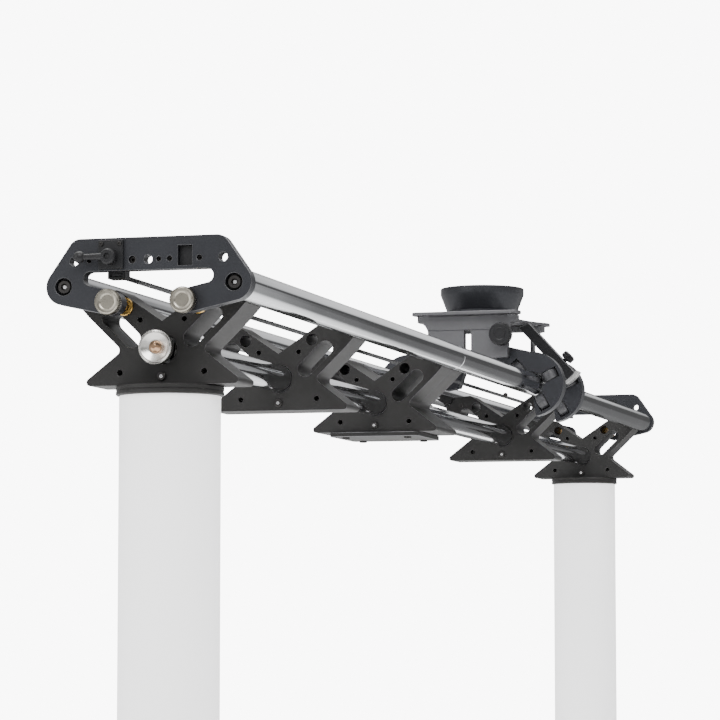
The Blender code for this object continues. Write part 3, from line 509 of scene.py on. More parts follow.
plateShape = Values(lobeRadius=0.0165, slant=35, cornerRadius=0.012, top=0.0426,
    windowTop=0.013, windowEnd=0.061, bossRadius=0.011,
    socketRadius=0.008, socketDepth=0.007, boltHole=0.0043, beamHoleZ=0.0225,
    beamHoles=((0.070, 0.0042), (0.056, 0.0022), (0.015, 0.0034), (0.0, 0.0040),
    (-0.010, 0.0023), (-0.020, 0.0026), (-0.048, 0.0026), (-0.070, 0.0042)),
    pocketY=0.0345, pocketWidth=0.0135, pocketLow=0.016, pocketHigh=0.034,
    blankSetback=0.005, blankGap=0.00015, blankEdge=0.0005,
    grubDepth=0.0095, grubLength=0.0065, grubLargest=0.0036,
    screwY=0.035, screwZ=-0.0155, screwHole=0.0044, edge=0.0007)


def plateOutline(shape):
    slant = radians(shape.slant)
    lobe = shape.lobeRadius
    boss = shape.bossRadius
    cornerY = railY + (lobe - shape.top * sin(slant)) / cos(slant)
    cornerY -= shape.cornerRadius * tan((pi / 2 - slant) / 2)
    across = shape.screwY - railY
    under = atan2(shape.screwZ, across) - 2 * pi
    under += acos((lobe - boss) / hypot(across, shape.screwZ))
    if under < -pi:
        under += 2 * pi
    over = under + pi
    room = (shape.windowEnd - shape.screwY) * cos(over)
    room += (shape.windowTop - shape.screwZ) * sin(over)
    hollow = (room - boss) / (1 + cos(over) + sin(over))
    half = arc(cornerY, shape.top - shape.cornerRadius, shape.cornerRadius, pi / 2, slant, 10)
    half += arc(railY, 0, lobe, slant, under, 28)
    half += arc(shape.screwY, shape.screwZ, boss, under, under - pi, 24)
    half += arc(shape.windowEnd - hollow, shape.windowTop - hollow, hollow, under, pi / 2, 16)
    return half + [(-y, z) for y, z in reversed(half)]


def endPlates():
    shape = plateShape
    half = shape.pocketWidth / 2
    for node, outward, outer, inner in atEnds("end_plate"):
        ledge = outer - outward * shape.socketDepth
        loops = [circle(holeY, shape.beamHoleZ, radius, 24) for holeY, radius in shape.beamHoles]
        holes = []
        for side in sides.values():
            wide = circle(side * railY, 0, shape.socketRadius)
            narrow = circle(side * railY, 0, shape.boltHole)
            holes.append([(outer, wide), (ledge, wide), (ledge, narrow), (inner, narrow)])
            holes.append(through(circle(side * shape.screwY, shape.screwZ, shape.screwHole), outer, inner))
            middle = side * shape.pocketY
            pocket = rectangle(middle - half, shape.pocketLow, middle + half, shape.pocketHigh)
            holes.append(through(pocket, outer, inner))
        holes += [through(loop, outer, inner) for loop in loops]
        plate = prism(plateOutline(shape), outer, inner, holes)
        put(node + "_body", "frame", [(plate, "plateGrey")], (node,), shape.edge)


def beamScrews():
    shape = plateShape
    for node, outward, outer, _ in atEnds("end_plate"):
        seat = outer - outward * shape.grubDepth
        grubs = bmesh.new()
        for holeY, radius in shape.beamHoles:
            if radius > shape.grubLargest:
                continue
            size = radius - shape.blankGap / 2
            head = capScrew(size, shape.grubLength, size * 0.5)
            head = aimed(head, (seat, holeY, shape.beamHoleZ + railZ), (outward, 0, 0))
            data = meshFrom(head, "grub")
            grubs.from_mesh(data)
            bpy.data.meshes.remove(data)
        put(node + "_grub_screws", "frame", [(grubs, "blackOxide")])


def pocketBlanks():
    shape = plateShape
    gap = shape.blankGap
    half = shape.pocketWidth / 2 - gap
    for node, outward, outer, inner in atEnds("end_plate"):
        face = outer - outward * shape.blankSetback
        blank = block((min(face, inner), -shape.pocketY - half, shape.pocketLow + gap + railZ),
            (max(face, inner), -shape.pocketY + half, shape.pocketHigh - gap + railZ))
        put(node + "_pocket_blank", "frame", [(blank, "softBlack")],
            edge=shape.blankEdge, edgePaint=None)


boltShape = Values(headRadius=0.0065, headHeight=0.005, socket=0.003, shank=0.004, lead=0.001,
    pinRadius=0.0021, pinTip=0.0016, pinLength=0.0034, pinSoft=0.0004)


def railBolts():
    shape = boltShape
    shank, pin, tip = shape.shank, shape.pinRadius, shape.pinLength
    pinProfile = [(0, 0), (0, pin), (tip - shape.pinSoft, pin), (tip, shape.pinTip), (tip, 0)]
    for end, outward in ends.items():
        for side in sides:
            node = f"rail_bolt_{end}_{side}"
            top, tail = endFaces(node, outward)
            seat = top - outward * shape.headHeight
            length = abs(tail - seat)
            centre = (seat, sides[side] * railY, railZ)
            head = aimed(capScrew(shape.headRadius, shape.headHeight, shape.socket, 32),
                centre, (outward, 0, 0))
            rod = turned([(0.0001, 0), (0.0001, shank), (length - shape.lead, shank),
                (length, shank * 0.8), (length, 0)], centre, (-outward, 0, 0), 24)
            stud = turned(pinProfile, centre, (outward, 0, 0), 16)
            put(node + "_screw", "frame", [(head, "blackOxide"), (rod, "screwSteel"), (stud, "screwSteel")],
                (node,))


endPlates()
beamScrews()
pocketBlanks()
railBolts()
print("end plates done")


# tubes

tubeShape = Values(wall=0.003, chamfer=0.0010, steps=96)


def tubes():
    shape = tubeShape
    starts = ("rail_left", "rail_right", "spine_f", "spine_sec")
    for node in [name for name in frame["nodes"] if name.startswith(starts)]:
        low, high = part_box(node)
        middle = (low + high) / 2
        radius = (high.z - low.z) / 2
        bore = radius - shape.wall
        length = high.x - low.x
        cut = shape.chamfer
        profile = [(0, bore), (0, radius - cut), (cut, radius), (length - cut, radius),
            (length, radius - cut), (length, bore)]
        tube = turned(profile, (low.x, middle.y, middle.z), (1, 0, 0), shape.steps)
        put(node + "_tube", "frame", [(tube, "mirrorTube")], (node,))


tubes()
print("tubes done")


# cross brackets

bracketShape = Values(
    bottom=-0.0865, baseHalf=0.072, tipRadius=0.0035, waist=(0.038, -0.055), waistFillet=0.005,
    armCorner=(0.070, -0.024), notchZ=-0.029, armTop=(0.043, 0.0),
    slotRadius=0.008, slotMargin=0.006, slotLength=0.029,
    nutBore=0.0062, pin=(0.021, -0.0275, 0.0026), base=(0.040, -0.075, 0.0028),
    saddle=(-95, -172), edge=0.0008, frontBolt=(0.0, -0.079),
    bolt=(0.0040, 0.0022, 0.0020), boltPin=(0.0018, 0.0020, 0.0006))


def bracketOutline(shape):
    tipRadius = shape.tipRadius
    tip = (shape.baseHalf - tipRadius, shape.bottom + tipRadius)
    waist, corner = shape.waist, shape.armCorner
    tangent = atan2(waist[1] - tip[1], waist[0] - tip[0]) - acos(tipRadius / dist(waist, tip))
    half = arc(*tip, tipRadius, -pi / 2, tangent, 10)
    half += fillet(half[-1], waist, corner, shape.waistFillet, 10)
    half.append(corner)
    start, end = (radians(angle) for angle in shape.saddle)
    half += arc(railY, 0, railRadius + fitGap, start, end, 20)
    half += [shape.armTop, (0.0, shape.notchZ)]
    return half + [(-y, z) for y, z in reversed(half[:-1])]


def armSlot(shape, side):
    waistY, waistZ = shape.waist
    lean = atan2(shape.armCorner[1] - waistZ, shape.armCorner[0] - waistY)
    inset = shape.slotMargin + shape.slotRadius
    startY = waistY - inset * sin(lean)
    startZ = waistZ + inset * cos(lean)
    endY = startY + shape.slotLength * cos(lean)
    endZ = startZ + shape.slotLength * sin(lean)
    loop = arc(startY, startZ, shape.slotRadius, lean + pi / 2, lean + 3 * pi / 2, 14)
    loop += arc(endY, endZ, shape.slotRadius, lean - pi / 2, lean + pi / 2, 14)
    return [(side * y, z) for y, z in loop]


def crossBrackets():
    shape = bracketShape
    outline = bracketOutline(shape)
    for node in sorted(name for name in frame["nodes"] if name.startswith("cross_bracket")):
        low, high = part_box(node)
        loops = [circle(0, spineZ, spineRadius + fitGap, 48)]
        for side in sides.values():
            loops.append(armSlot(shape, side))
            loops.append(circle(side * plateShape.screwY, plateShape.screwZ, shape.nutBore))
            loops.append(circle(side * shape.pin[0], shape.pin[1], shape.pin[2], 20))
            loops.append(circle(side * shape.base[0], shape.base[1], shape.base[2], 20))
        body = prism(outline, low.x, high.x, [through(loop, low.x, high.x) for loop in loops])
        boltY, boltZ = shape.frontBolt
        spots = [((low.x, boltY, boltZ + railZ), (-1, 0, 0)), ((high.x, boltY, boltZ + railZ), (1, 0, 0))]
        if "joint_second" in node:
            spots = spots[1:]
        elif "joint_first" in node:
            spots = spots[:1]
        put(node + "_body", "frame", [(body, "bracketBlack")], (node,), shape.edge)
        put(node + "_bolts", "frame", [(screws(spots, *shape.bolt, "blackOxide"), "blackOxide"),
            (screws(spots, *shape.boltPin, "screwSteel"), "screwSteel")])


nutShape = Values(bore=0.0044, flangeRadius=0.0082, flange=0.004, shell=0.0059, depth=0.010, soft=0.0005)


def brassNuts():
    shape = nutShape
    bore, wide, flange, shell = shape.bore, shape.flangeRadius, shape.flange, shape.shell
    soft, tail = shape.soft, flange + shape.depth
    profile = [(0, bore + soft), (0, wide - soft), (soft, wide), (flange - soft, wide), (flange, wide - soft),
        (flange, shell), (tail, shell), (tail, bore), (soft, bore)]
    for end, outward in ends.items():
        for side in sides:
            node = f"brass_nut_{end}_{side}"
            outer = endFaces(node, outward)[0]
            centre = (outer, sides[side] * plateShape.screwY, plateShape.screwZ + railZ)
            put(node + "_turned", "frame", [(turned(profile, centre, (-outward, 0, 0), 48), "turnedBrass")],
                (node,))


crossBrackets()
brassNuts()
print("brackets done")


# knurled module screws

screwShape = Values(knobRadius=0.0115, knobLength=0.009, shank=0.004, ridges=44, ribRise=0.0006, soft=0.0009,
    dish=0.0012, lip=0.0004, lead=0.001)
discShape = Values(radius=0.0155, length=0.009, shank=0.005, hub=0.007, nose=0.003, ridges=60, ribRise=0.0006,
    soft=0.001, lead=0.001, tipRadius=0.0020, coneRadius=0.0058)


def moduleScrews():
    shape = screwShape
    knob, tall = shape.knobRadius - shape.ribRise, shape.knobLength
    soft, lead, shank, dish = shape.soft, shape.lead, shape.shank, shape.dish
    for side in sides:
        node = f"module_screw_{side}"
        low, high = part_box(node)
        centre = (low.x, sides[side] * plateShape.screwY, plateShape.screwZ + railZ)
        length = high.x - low.x
        profile = [(dish, 0), (dish, knob * 0.55), (shape.lip, knob * 0.62), (0, knob * 0.70),
            (0, knob - soft), (soft, knob), (tall - soft, knob), (tall, knob - soft),
            (tall, shank + lead), (tall + lead, shank), (length - lead, shank),
            (length, shank - lead), (length, 0)]
        body = turned(profile, centre, (1, 0, 0), 64)
        ribs = knurl((low.x + tall / 2, centre[1], centre[2]), (1, 0, 0), shape.knobRadius,
            tall - 2 * soft, shape.ridges, "knurledNickel")
        put(node + "_knob", node, [(body, "knurledNickel"), (ribs, "knurledNickel")], (node,))


def spineScrew():
    shape = discShape
    low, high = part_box("spine_screw")
    centre = (low.x, 0, spineZ + railZ)
    disc, tall, nose = shape.radius - shape.ribRise, shape.length, shape.nose
    soft, lead, shank, back = shape.soft, shape.lead, shape.shank, nose + tall
    length = high.x - low.x
    cone = [(0, 0), (0, shape.tipRadius), (0.0004, 0.0026), (nose + 0.0010, 0.0056),
        (nose + 0.0030, shape.coneRadius), (nose + 0.0030, 0)]
    profile = [(nose + 0.0022, 0), (nose + 0.0022, 0.0066), (nose + 0.0020, shape.hub),
        (nose + 0.0004, disc * 0.82), (nose, disc * 0.86), (nose, disc - soft), (nose + soft, disc),
        (back - soft, disc), (back, disc - soft), (back, shank + lead), (back + lead, shank),
        (length - lead, shank), (length, shank - lead), (length, 0)]
    body = turned(profile, centre, (1, 0, 0), 72)
    ribs = knurl((low.x + nose + tall / 2, 0, centre[2]), (1, 0, 0), shape.radius,
        tall - 2 * soft, shape.ridges, "knurledNickel")
    tip = turned(cone, centre, (1, 0, 0), 48)
    put("spine_screw_knob", "spine_screw",
        [(body, "brightNickel"), (ribs, "brightNickel"), (tip, "bronzeTip")],
        ("spine_screw",))


moduleScrews()
spineScrew()
print("module screws done")


# feet

puckShape = Values(hole=0.005, groove=0.0006, soft=0.0009, band=(0.42, 0.45, 0.55, 0.58))


def pucks():
    shape = puckShape
    for end in ends:
        node = f"tripod_puck_{end}"
        low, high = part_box(node)
        middle = (low + high) / 2
        radius = (high.x - low.x) / 2
        tall = high.z - low.z
        soft, dip = shape.soft, radius - shape.groove
        start, lower, upper, stop = (tall * share for share in shape.band)
        profile = [(0, shape.hole), (0, radius - soft), (soft, radius), (start, radius), (lower, dip),
            (upper, dip), (stop, radius), (tall - soft, radius), (tall, radius - soft), (tall, shape.hole)]
        body = turned(profile, (middle.x, middle.y, low.z), (0, 0, 1), 96)
        put(node + "_disc", "frame", [(body, "bracketBlack")], (node,))


jointShape = Values(corner=0.006, edge=0.0006, spread=0.036, screw=(0.0042, 0.0020, 0.0020))


def jointPlate():
    shape = jointShape
    low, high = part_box("joint_plate")
    corner = shape.corner
    halfX, halfY = (high.x - low.x) / 2 - corner, (high.y - low.y) / 2 - corner
    outline = []
    for turn, (signX, signY) in enumerate(((1, 1), (-1, 1), (-1, -1), (1, -1))):
        outline += arc(signX * halfX, signY * halfY, corner, turn * pi / 2, (turn + 1) * pi / 2, 8)
    made = lyingPlate(outline, low, high)
    put("joint_plate_body", "frame", [(made, "bracketBlack")], ("joint_plate",),
        shape.edge)
    spots = [(((low.x + high.x) / 2 + signX * shape.spread, signY * shape.spread, low.z), (0, 0, -1))
        for signX in (1, -1) for signY in (1, -1)]
    putScrews("joint_plate_screws", "frame", spots, shape.screw)


pucks()
jointPlate()
print("feet done")


# belt, clamps and lever

beltShape = Values(pitch=0.005, tooth=(0.0026, 0.0098, 0.0009), back=0.0010, sink=0.0003)


def belt():
    shape = beltShape
    low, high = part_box("timing_belt")
    strip = block((low.x, low.y, high.z - shape.back), tuple(high))
    count = int((high.x - low.x) / shape.pitch)
    teeth = grown(toothRow, {"Count": count, "Pitch": shape.pitch, "Tooth": shape.tooth,
        "Finish": paints["beltRubber"]})
    startX = low.x + shape.pitch / 2
    toothZ = high.z - shape.back - shape.tooth[2] / 2 + shape.sink
    teeth.transform(Matrix.Translation((startX, (low.y + high.y) / 2, toothZ)))
    put("timing_belt_toothed", "frame", [(strip, "beltRubber"), (teeth, "beltRubber")],
        ("timing_belt",))


clampShape = Values(gap=0.0004, edge=0.0006, screwDrop=0.006, screwShift=0.0045,
    screw=(0.0024, 0.0018, 0.0012))


def clamps():
    shape = clampShape
    gap = shape.gap
    beltLow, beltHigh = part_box("timing_belt")
    slit = rectangle(beltLow.y - gap, beltLow.z - gap - railZ, beltHigh.y + gap, beltHigh.z + gap - railZ)
    for end, outward in ends.items():
        node = f"belt_clamp_{end}"
        low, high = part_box(node)
        outline = rectangle(low.y, low.z - railZ, high.y, high.z - railZ)
        body = prism(outline, low.x, high.x, [through(slit, low.x, high.x)])
        put(node + "_body", "frame", [(body, "softBlack")], (node,), shape.edge, None)
        face = endFaces(node, outward)[1]
        spots = [((face, (low.y + high.y) / 2 + shift, high.z - shape.screwDrop), (-outward, 0, 0))
            for shift in (-shape.screwShift, shape.screwShift)]
        putScrews(node + "_screws", "frame", spots, shape.screw)
        tensioner(f"belt_tensioner_{end}", outward)


tensionShape = Values(flange=0.003, gap=0.0003, noseHalf=0.00645, noseLow=0.0163, noseHigh=0.0337,
    edge=0.0007,
    screwDrop=0.0035, screwShift=0.0085, screw=(0.0019, 0.0014, 0.0009))


def tensioner(node, outward):
    shape = tensionShape
    low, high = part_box(node)
    middleY, half = (low.y + high.y) / 2, shape.noseHalf
    front, back = endFaces(node, outward)
    seat = front - outward * (shape.flange - shape.gap)
    flange = block((min(front, seat), low.y, low.z), (max(front, seat), high.y, high.z))
    nose = block((min(seat, back), middleY - half, shape.noseLow + railZ),
        (max(seat, back), middleY + half, shape.noseHigh + railZ))
    put(node + "_body", "frame", [(flange, "softBlack"), (nose, "softBlack")], (node,),
        shape.edge, None)
    spots = [((front, middleY + shift, high.z - shape.screwDrop), (outward, 0, 0))
        for shift in (-shape.screwShift, shape.screwShift)]
    putScrews(node + "_screws", "frame", spots, shape.screw)


leverShape = Values(hubRadius=0.007, hubLength=0.009, armOffset=0.006, reach=0.027, ball=0.0055, neck=0.0028,
    root=0.0034, rootStart=0.003, soft=0.0012, dimple=(0.0028, 0.0024, 0.0015))


def lever():
    shape = leverShape
    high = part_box("tension_lever")[1]
    pocketZ = (plateShape.pocketLow + plateShape.pocketHigh) / 2
    pivot = Vector((high.x, plateShape.pocketY, pocketZ + railZ))
    soft, hub, tall = shape.soft, shape.hubRadius, shape.hubLength
    rim, bottom, deep = shape.dimple
    boss = turned([(0, 0), (0, hub), (tall - soft, hub), (tall, hub - soft), (tall, rim),
        (tall - deep, bottom), (tall - deep, 0)], pivot, (-1, 0, 0), 48)
    ball, neck, reach = shape.ball, shape.neck, shape.reach
    tilt = asin(neck / ball)
    profile = [(shape.rootStart, 0), (shape.rootStart, shape.root),
        (reach - ball * cos(tilt) - 0.004, neck)]
    for index in range(17):
        angle = pi - tilt - (pi - tilt) * index / 17
        profile.append((reach + ball * cos(angle), ball * sin(angle)))
    profile.append((reach + ball, 0))
    arm = turned(profile, (pivot.x - shape.armOffset, pivot.y, pivot.z), (0, 1, 0), 40)
    put("tension_lever_handle", "tension_lever", [(boss, "softBlack"), (arm, "softBlack")],
        ("tension_lever",))


belt()
clamps()
lever()
print("belt and clamps done")


# carriage

deckShape = Values(waistDepth=0.026, corner=0.009, edge=0.0006, bowlHole=0.026,
    cutInner=(0.056, 0.030, 0.008), cutOuter=(0.0105, 0.0105, 0.0045),
    screwX=0.023, screwY=0.016, screw=(0.0040, 0.0024, 0.0020))


def cornerCutout(signX, signY, halfX, halfY):
    innerX, innerY, innerRadius = deckShape.cutInner
    outerX, outerY, outerRadius = deckShape.cutOuter
    inner = (halfX - innerX, halfY - innerY)
    outer = (halfX - outerX, halfY - outerY)
    span = hypot(outer[0] - inner[0], outer[1] - inner[1])
    lean = atan2(outer[1] - inner[1], outer[0] - inner[0])
    tangent = acos((innerRadius - outerRadius) / span)
    loop = arc(inner[0], inner[1], innerRadius, lean + tangent, lean + 2 * pi - tangent, 24)
    loop += arc(outer[0], outer[1], outerRadius, lean - tangent, lean + tangent, 12)
    return [(signX * x, signY * y) for x, y in loop]


def deck():
    shape = deckShape
    low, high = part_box("carriage_deck")
    halfX, halfY = (high.x - low.x) / 2, (high.y - low.y) / 2
    corner = shape.corner
    chord = halfX - corner * 2
    radius = (chord ** 2 + shape.waistDepth ** 2) / (2 * shape.waistDepth)
    spread = asin(chord / radius)
    quarter = arc(0, halfY - shape.waistDepth + radius, radius, -pi / 2, -pi / 2 + spread, 20)
    quarter += arc(halfX - corner, halfY - corner, corner, pi / 2, 0, 12)
    half = quarter + [(x, -y) for x, y in reversed(quarter)]
    outline = half + [(-x, y) for x, y in reversed(half)][1:-1]
    holes = [circle(0, 0, shape.bowlHole, 64)]
    for signX in (1, -1):
        for signY in (1, -1):
            holes.append(cornerCutout(signX, signY, halfX, halfY))
    made = lyingPlate(outline, low, high, holes)
    put("carriage_deck_plate", "carriage", [(made, "blastedGrey")], ("carriage_deck",),
        shape.edge)
    spots = [(((low.x + high.x) / 2 + signX * (halfX - shape.screwX), signY * shape.screwY, high.z),
        (0, 0, 1)) for signX in (1, -1) for signY in (1, -1)]
    putScrews("carriage_deck_screws", "carriage", spots, shape.screw)


bowlShape = Values(rim=0.054, base=0.046, seat=0.050, hole=0.020, floor=0.006, soft=0.0008, steps=24)


def bowl():
    shape = bowlShape
    low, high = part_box("head_bowl")
    middle = (low + high) / 2
    rim, base, seat, hole, soft = shape.rim, shape.base, shape.seat, shape.hole, shape.soft
    tall = high.z - low.z
    profile = [(0, hole), (0, base - soft), (soft, base), (tall * 0.20, base), (tall * 0.22, base - 0.0006),
        (tall * 0.25, base + 0.0003), (tall * 0.75, rim - 0.0004), (tall * 0.78, rim),
        (tall - soft, rim), (tall, rim - soft)]
    deepest = acos(hole / seat)
    scale = (tall - shape.floor) / (seat * sin(deepest))
    for index in range(shape.steps + 1):
        angle = deepest * index / shape.steps
        profile.append((tall - seat * sin(angle) * scale, seat * cos(angle)))
    made = turned(profile, (middle.x, middle.y, low.z), (0, 0, 1), 128)
    put("head_bowl_cup", "carriage", [(made, "plateGrey")], ("head_bowl",))


riserShape = Values(topHalf=0.065, bottomHalf=0.052, lip=0.008, slit=(0.009, 0.044, 0.070), step=0.0020,
    lock=(-0.046, 0.062, 0.0044), window=(0.014, 0.048, 0.044, 0.080), edge=0.0007,
    slitGap=0.0008, screwY=0.050, screwDrop=0.007, screw=(0.0030, 0.0020, 0.0015))


def risers():
    shape = riserShape
    scoop = shape.topHalf - shape.bottomHalf
    width, slitLow, slitHigh = shape.slit
    left, right, sill, head = shape.window
    for node, outward in (("riser_front", -1), ("riser_rear", 1)):
        low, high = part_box(node)
        top, bottom = high.z - railZ, low.z - railZ
        scoopZ = top - shape.lip - scoop
        turn = pi - asin((slitHigh - scoopZ) / scoop)
        upper = [(0, top), (shape.topHalf, top), (shape.topHalf, top - shape.lip)]
        upper += arc(shape.topHalf, scoopZ, scoop, pi / 2, turn, 12)[1:]
        lower = arc(shape.topHalf, scoopZ, scoop, turn, pi, 4)
        lower += [(shape.bottomHalf, bottom), (0, bottom)]
        if node == "riser_rear":
            half = upper + lower[1:]
            outline = half + [(-y, z) for y, z in reversed(half[1:-1])]
            windows = [rectangle(sign * left, sill, sign * right, head) for sign in sides.values()]
            made = prism(outline, low.x, high.x, [through(loop, low.x, high.x) for loop in windows])
            parts = [(made, "blastedGrey")]
        else:
            crown = upper + [(-y, z) for y, z in reversed(upper[1:])]
            foot = lower + [(-y, z) for y, z in reversed(lower[:-1])]
            loops = [circle(*shape.lock, 24),
                rectangle(-width / 2, slitLow, width / 2, slitHigh - shape.slitGap)]
            start = low.x + shape.step
            parts = [(prism(crown, low.x, high.x), "blastedGrey"),
                (prism(foot, start, high.x, [through(loop, start, high.x) for loop in loops]),
                "blastedGrey")]
        put(node + "_plate", "carriage", parts, (node,), shape.edge)
        face = endFaces(node, outward)[0]
        spots = [((face, sign * shape.screwY, top - shape.screwDrop), (outward, 0, 0)) for sign in (1, -1)]
        putScrews(node + "_screws", "carriage", spots, shape.screw)


lockShape = Values(length=0.015, soft=0.0012, ribRise=0.0006, dish=0.0010, neck=0.0045, shank=0.004,
    tip=0.003,
    lead=0.001, ridges=36, ridge=0.0016)


def lockKnob():
    shape = lockShape
    low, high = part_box("lock_knob")
    middle = (low + high) / 2
    radius, tall, soft = (high.y - low.y) / 2 - shape.ribRise, shape.length, shape.soft
    length = high.x - low.x
    profile = [(shape.dish, 0), (shape.dish, radius * 0.5), (0, radius * 0.6), (0, radius - soft),
        (soft, radius), (tall - soft, radius), (tall, radius - soft), (tall, shape.neck),
        (length - shape.lead, shape.shank), (length, shape.tip), (length, 0)]
    body = turned(profile, (low.x, middle.y, middle.z), (1, 0, 0), 64)
    ribs = knurl((low.x + tall / 2, middle.y, middle.z), (1, 0, 0), radius + shape.ribRise,
        tall - 2 * soft, shape.ridges, "softBlack", shape.ridge)
    put("lock_knob_grip", "lock_knob", [(body, "softBlack"), (ribs, "softBlack")], ("lock_knob",))


yokeShape = Values(outer=0.041, inner=0.018, start=-80, end=172, reach=0.046, top=0.052, bottom=0.036,
    angles=dict(top=-40, side=65, under=150), edge=0.0008)
rollerShape = Values(radius=0.011, width=0.012, sideGap=0.0008, topGap=0.001, axle=0.0025, axleLength=0.020,
    soft=0.001, hub=(0.0072, 0.0074, 0.0082, 0.0084), hubDip=0.0004)


def radial(angle, distance, offset=0.0):
    return (-distance * sin(angle) - offset * cos(angle), distance * cos(angle) - offset * sin(angle))


def yokes():
    shape, roller = yokeShape, rollerShape
    start, end = radians(shape.start), radians(shape.end)
    points = [radial(end * (1 - index / 40), shape.outer) for index in range(41)]
    points += [(shape.reach, shape.top), (shape.reach, shape.bottom)]
    points += [radial(start, shape.outer - 0.005), radial(start, shape.inner)]
    halfNotch = roller.width / 2 + roller.sideGap
    notchTop = railRadius + fitGap + 2 * roller.radius + roller.topGap
    notchStart = sqrt(shape.inner ** 2 - halfNotch ** 2)
    for angle in sorted(radians(value) for value in shape.angles.values()):
        points += [radial(angle, notchStart, -halfNotch), radial(angle, notchTop, -halfNotch),
            radial(angle, notchTop, halfNotch), radial(angle, notchStart, halfNotch)]
    points.append(radial(end, shape.inner))
    for place in ("front", "rear"):
        for side, sign in sides.items():
            node = f"yoke_{place}_{side}"
            low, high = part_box(node)
            outline = [(sign * (railY - inward), height) for inward, height in points]
            put(node + "_plate", "carriage", [(prism(outline, low.x, high.x), "plateGrey")], (node,),
                shape.edge)


def rollers():
    shape = rollerShape
    half, axleHalf = shape.width / 2, shape.axleLength / 2
    soft, dip, axle = shape.soft, shape.hubDip, shape.axle
    first, second, third, fourth = shape.hub
    profile = [(-axleHalf, 0), (-axleHalf, axle), (-half, axle), (-half, first), (-half + dip, second),
        (-half + dip, third), (-half, fourth), (-half, shape.radius - soft), (-half + soft, shape.radius)]
    profile += [(-along, radius) for along, radius in reversed(profile)]
    for joint in frame["joints"]:
        if not joint["name"].startswith("roller"):
            continue
        node = joint["child"]
        made = turned(profile, joint["pos_m"], joint["axis"], 48)
        put(node + "_wheel", node, [(made, "rollerTread")], (node,))


braceShape = Values(half=0.007, edge=0.0007)
padShape = Values(top=(0.046, 0.0865), foot=(0.110, 0.017), radius=0.040, thick=0.0045, gap=0.0003, half=0.30,
    edge=0.0006)
thumbShape = Values(gap=0.002, length=0.009, radius=0.0074, ribRadius=0.008, shank=0.003, depth=0.007,
    soft=0.001,
    ridges=28, ridge=0.0013)


def bracePad(side, sign):
    shape = padShape
    low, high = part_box(f"brace_{side}")
    down = Vector((shape.foot[0] - shape.top[0], shape.foot[1] - shape.top[1])).normalized()
    lean = atan2(down.y, down.x)
    reach = shape.radius - shape.gap - shape.thick
    centreY, centreZ = shape.foot[0] - down.x * reach, shape.foot[1] - down.y * reach
    start, end = lean - shape.half, lean + shape.half
    loop = arc(centreY, centreZ, shape.radius, start, end, 16)
    loop += arc(centreY, centreZ, shape.radius - shape.thick, end, start, 16)
    pad = prism([(sign * y, z) for y, z in loop], low.x, high.x)
    put(f"brace_{side}_pad", "carriage", [(pad, "paleGrey")], edge=shape.edge,
        edgePaint=None)


def braces():
    for side, sign in sides.items():
        node = f"brace_{side}"
        source = frame["nodes"][node].data
        made = bmesh.new()
        made.from_mesh(source)
        bmesh.ops.remove_doubles(made, verts=made.verts, dist=0.00001)
        bmesh.ops.dissolve_limit(made, angle_limit=0.01, verts=made.verts, edges=made.edges)
        put(node + "_bar", "carriage", [(made, "softBlack")], (node,), braceShape.edge)
        bracePad(side, sign)
        thumbScrew(f"thumb_screw_{side}")


def thumbScrew(node):
    shape = thumbShape
    joint = next(item for item in frame["joints"] if item["child"] == node)
    pivot, axis = Vector(joint["pos_m"]), Vector(joint["axis"]).normalized()
    low, tall, radius = braceShape.half + shape.gap, shape.length, shape.radius
    soft, shank, top = shape.soft, shape.shank, low + tall
    profile = [(-shape.depth, 0), (-shape.depth, shank), (low, shank), (low, radius - soft),
        (low + soft, radius), (top - soft, radius), (top, radius - soft), (top, 0)]
    body = turned(profile, pivot, axis, 48)
    ribs = knurl(pivot + axis * (low + tall / 2), axis, shape.ribRadius, tall - 2 * soft,
        shape.ridges, "softBlack", shape.ridge)
    put(node + "_knob", node, [(body, "softBlack"), (ribs, "softBlack")], (node,))


deck()
bowl()
risers()
lockKnob()
yokes()
rollers()
braces()
print("carriage done")


# studio

studio = Values(floorDrop=0.85, floorRadius=4.6, floorFade=(2.0, 4.2), glow=0.7, room=1.35, backdrop=9.0,
    bands=((-1.0, 0.60), (1.0, 1.0), (-0.04, 0.80), (0.09, 0.85), (0.125, 0.09), (0.30, 0.08), (0.42, 0.9)),
    cardStart=0.93, cardEnd=0.955, cardTurn=(0.02, 0.10),
    frontCard=((-1.0, 0.24), (1.0, 1.0), (-0.23, 0.24), (-0.19, 0.15), (-0.02, 0.14), (0.03, 0.08),
    (0.17, 0.08), (0.212, 0.75), (0.24, 0.9)),
    backCard=((-1.0, 0.16), (1.0, 0.16), (0.03, 0.16), (0.05, 0.03), (0.215, 0.03), (0.232, 0.8)),
    eye=(-3.4882, -0.8973, -0.1982), aim=(-0.30, 0.0, 0.085), lens=150.0,
    plinthRadius=0.046, plinthGap=0.0005)
# each lamp: place, target, size and power
lamps = dict(key=((-3.0, -0.9, 2.4), (0, 0, 0), (2.4, 2.0), 105),
    top=((0.2, 0.2, 2.6), (0, 0, 0), (3.0, 1.2), 80),
    fill=((-2.5, 1.8, 0.6), (-0.3, 0, 0), (1.6, 1.6), 22))


def stand(name, data, material):
    data.materials.append(material)
    thing = bpy.data.objects.new(name, data)
    scene.collection.objects.link(thing)


def aimAt(thing, place, target, front):
    thing.location = place
    thing.rotation_mode = "QUATERNION"
    away = Vector(place) - Vector(target)
    thing.rotation_quaternion = (away if front == "Z" else -away).to_track_quat(front, "Y")
    scene.collection.objects.link(thing)


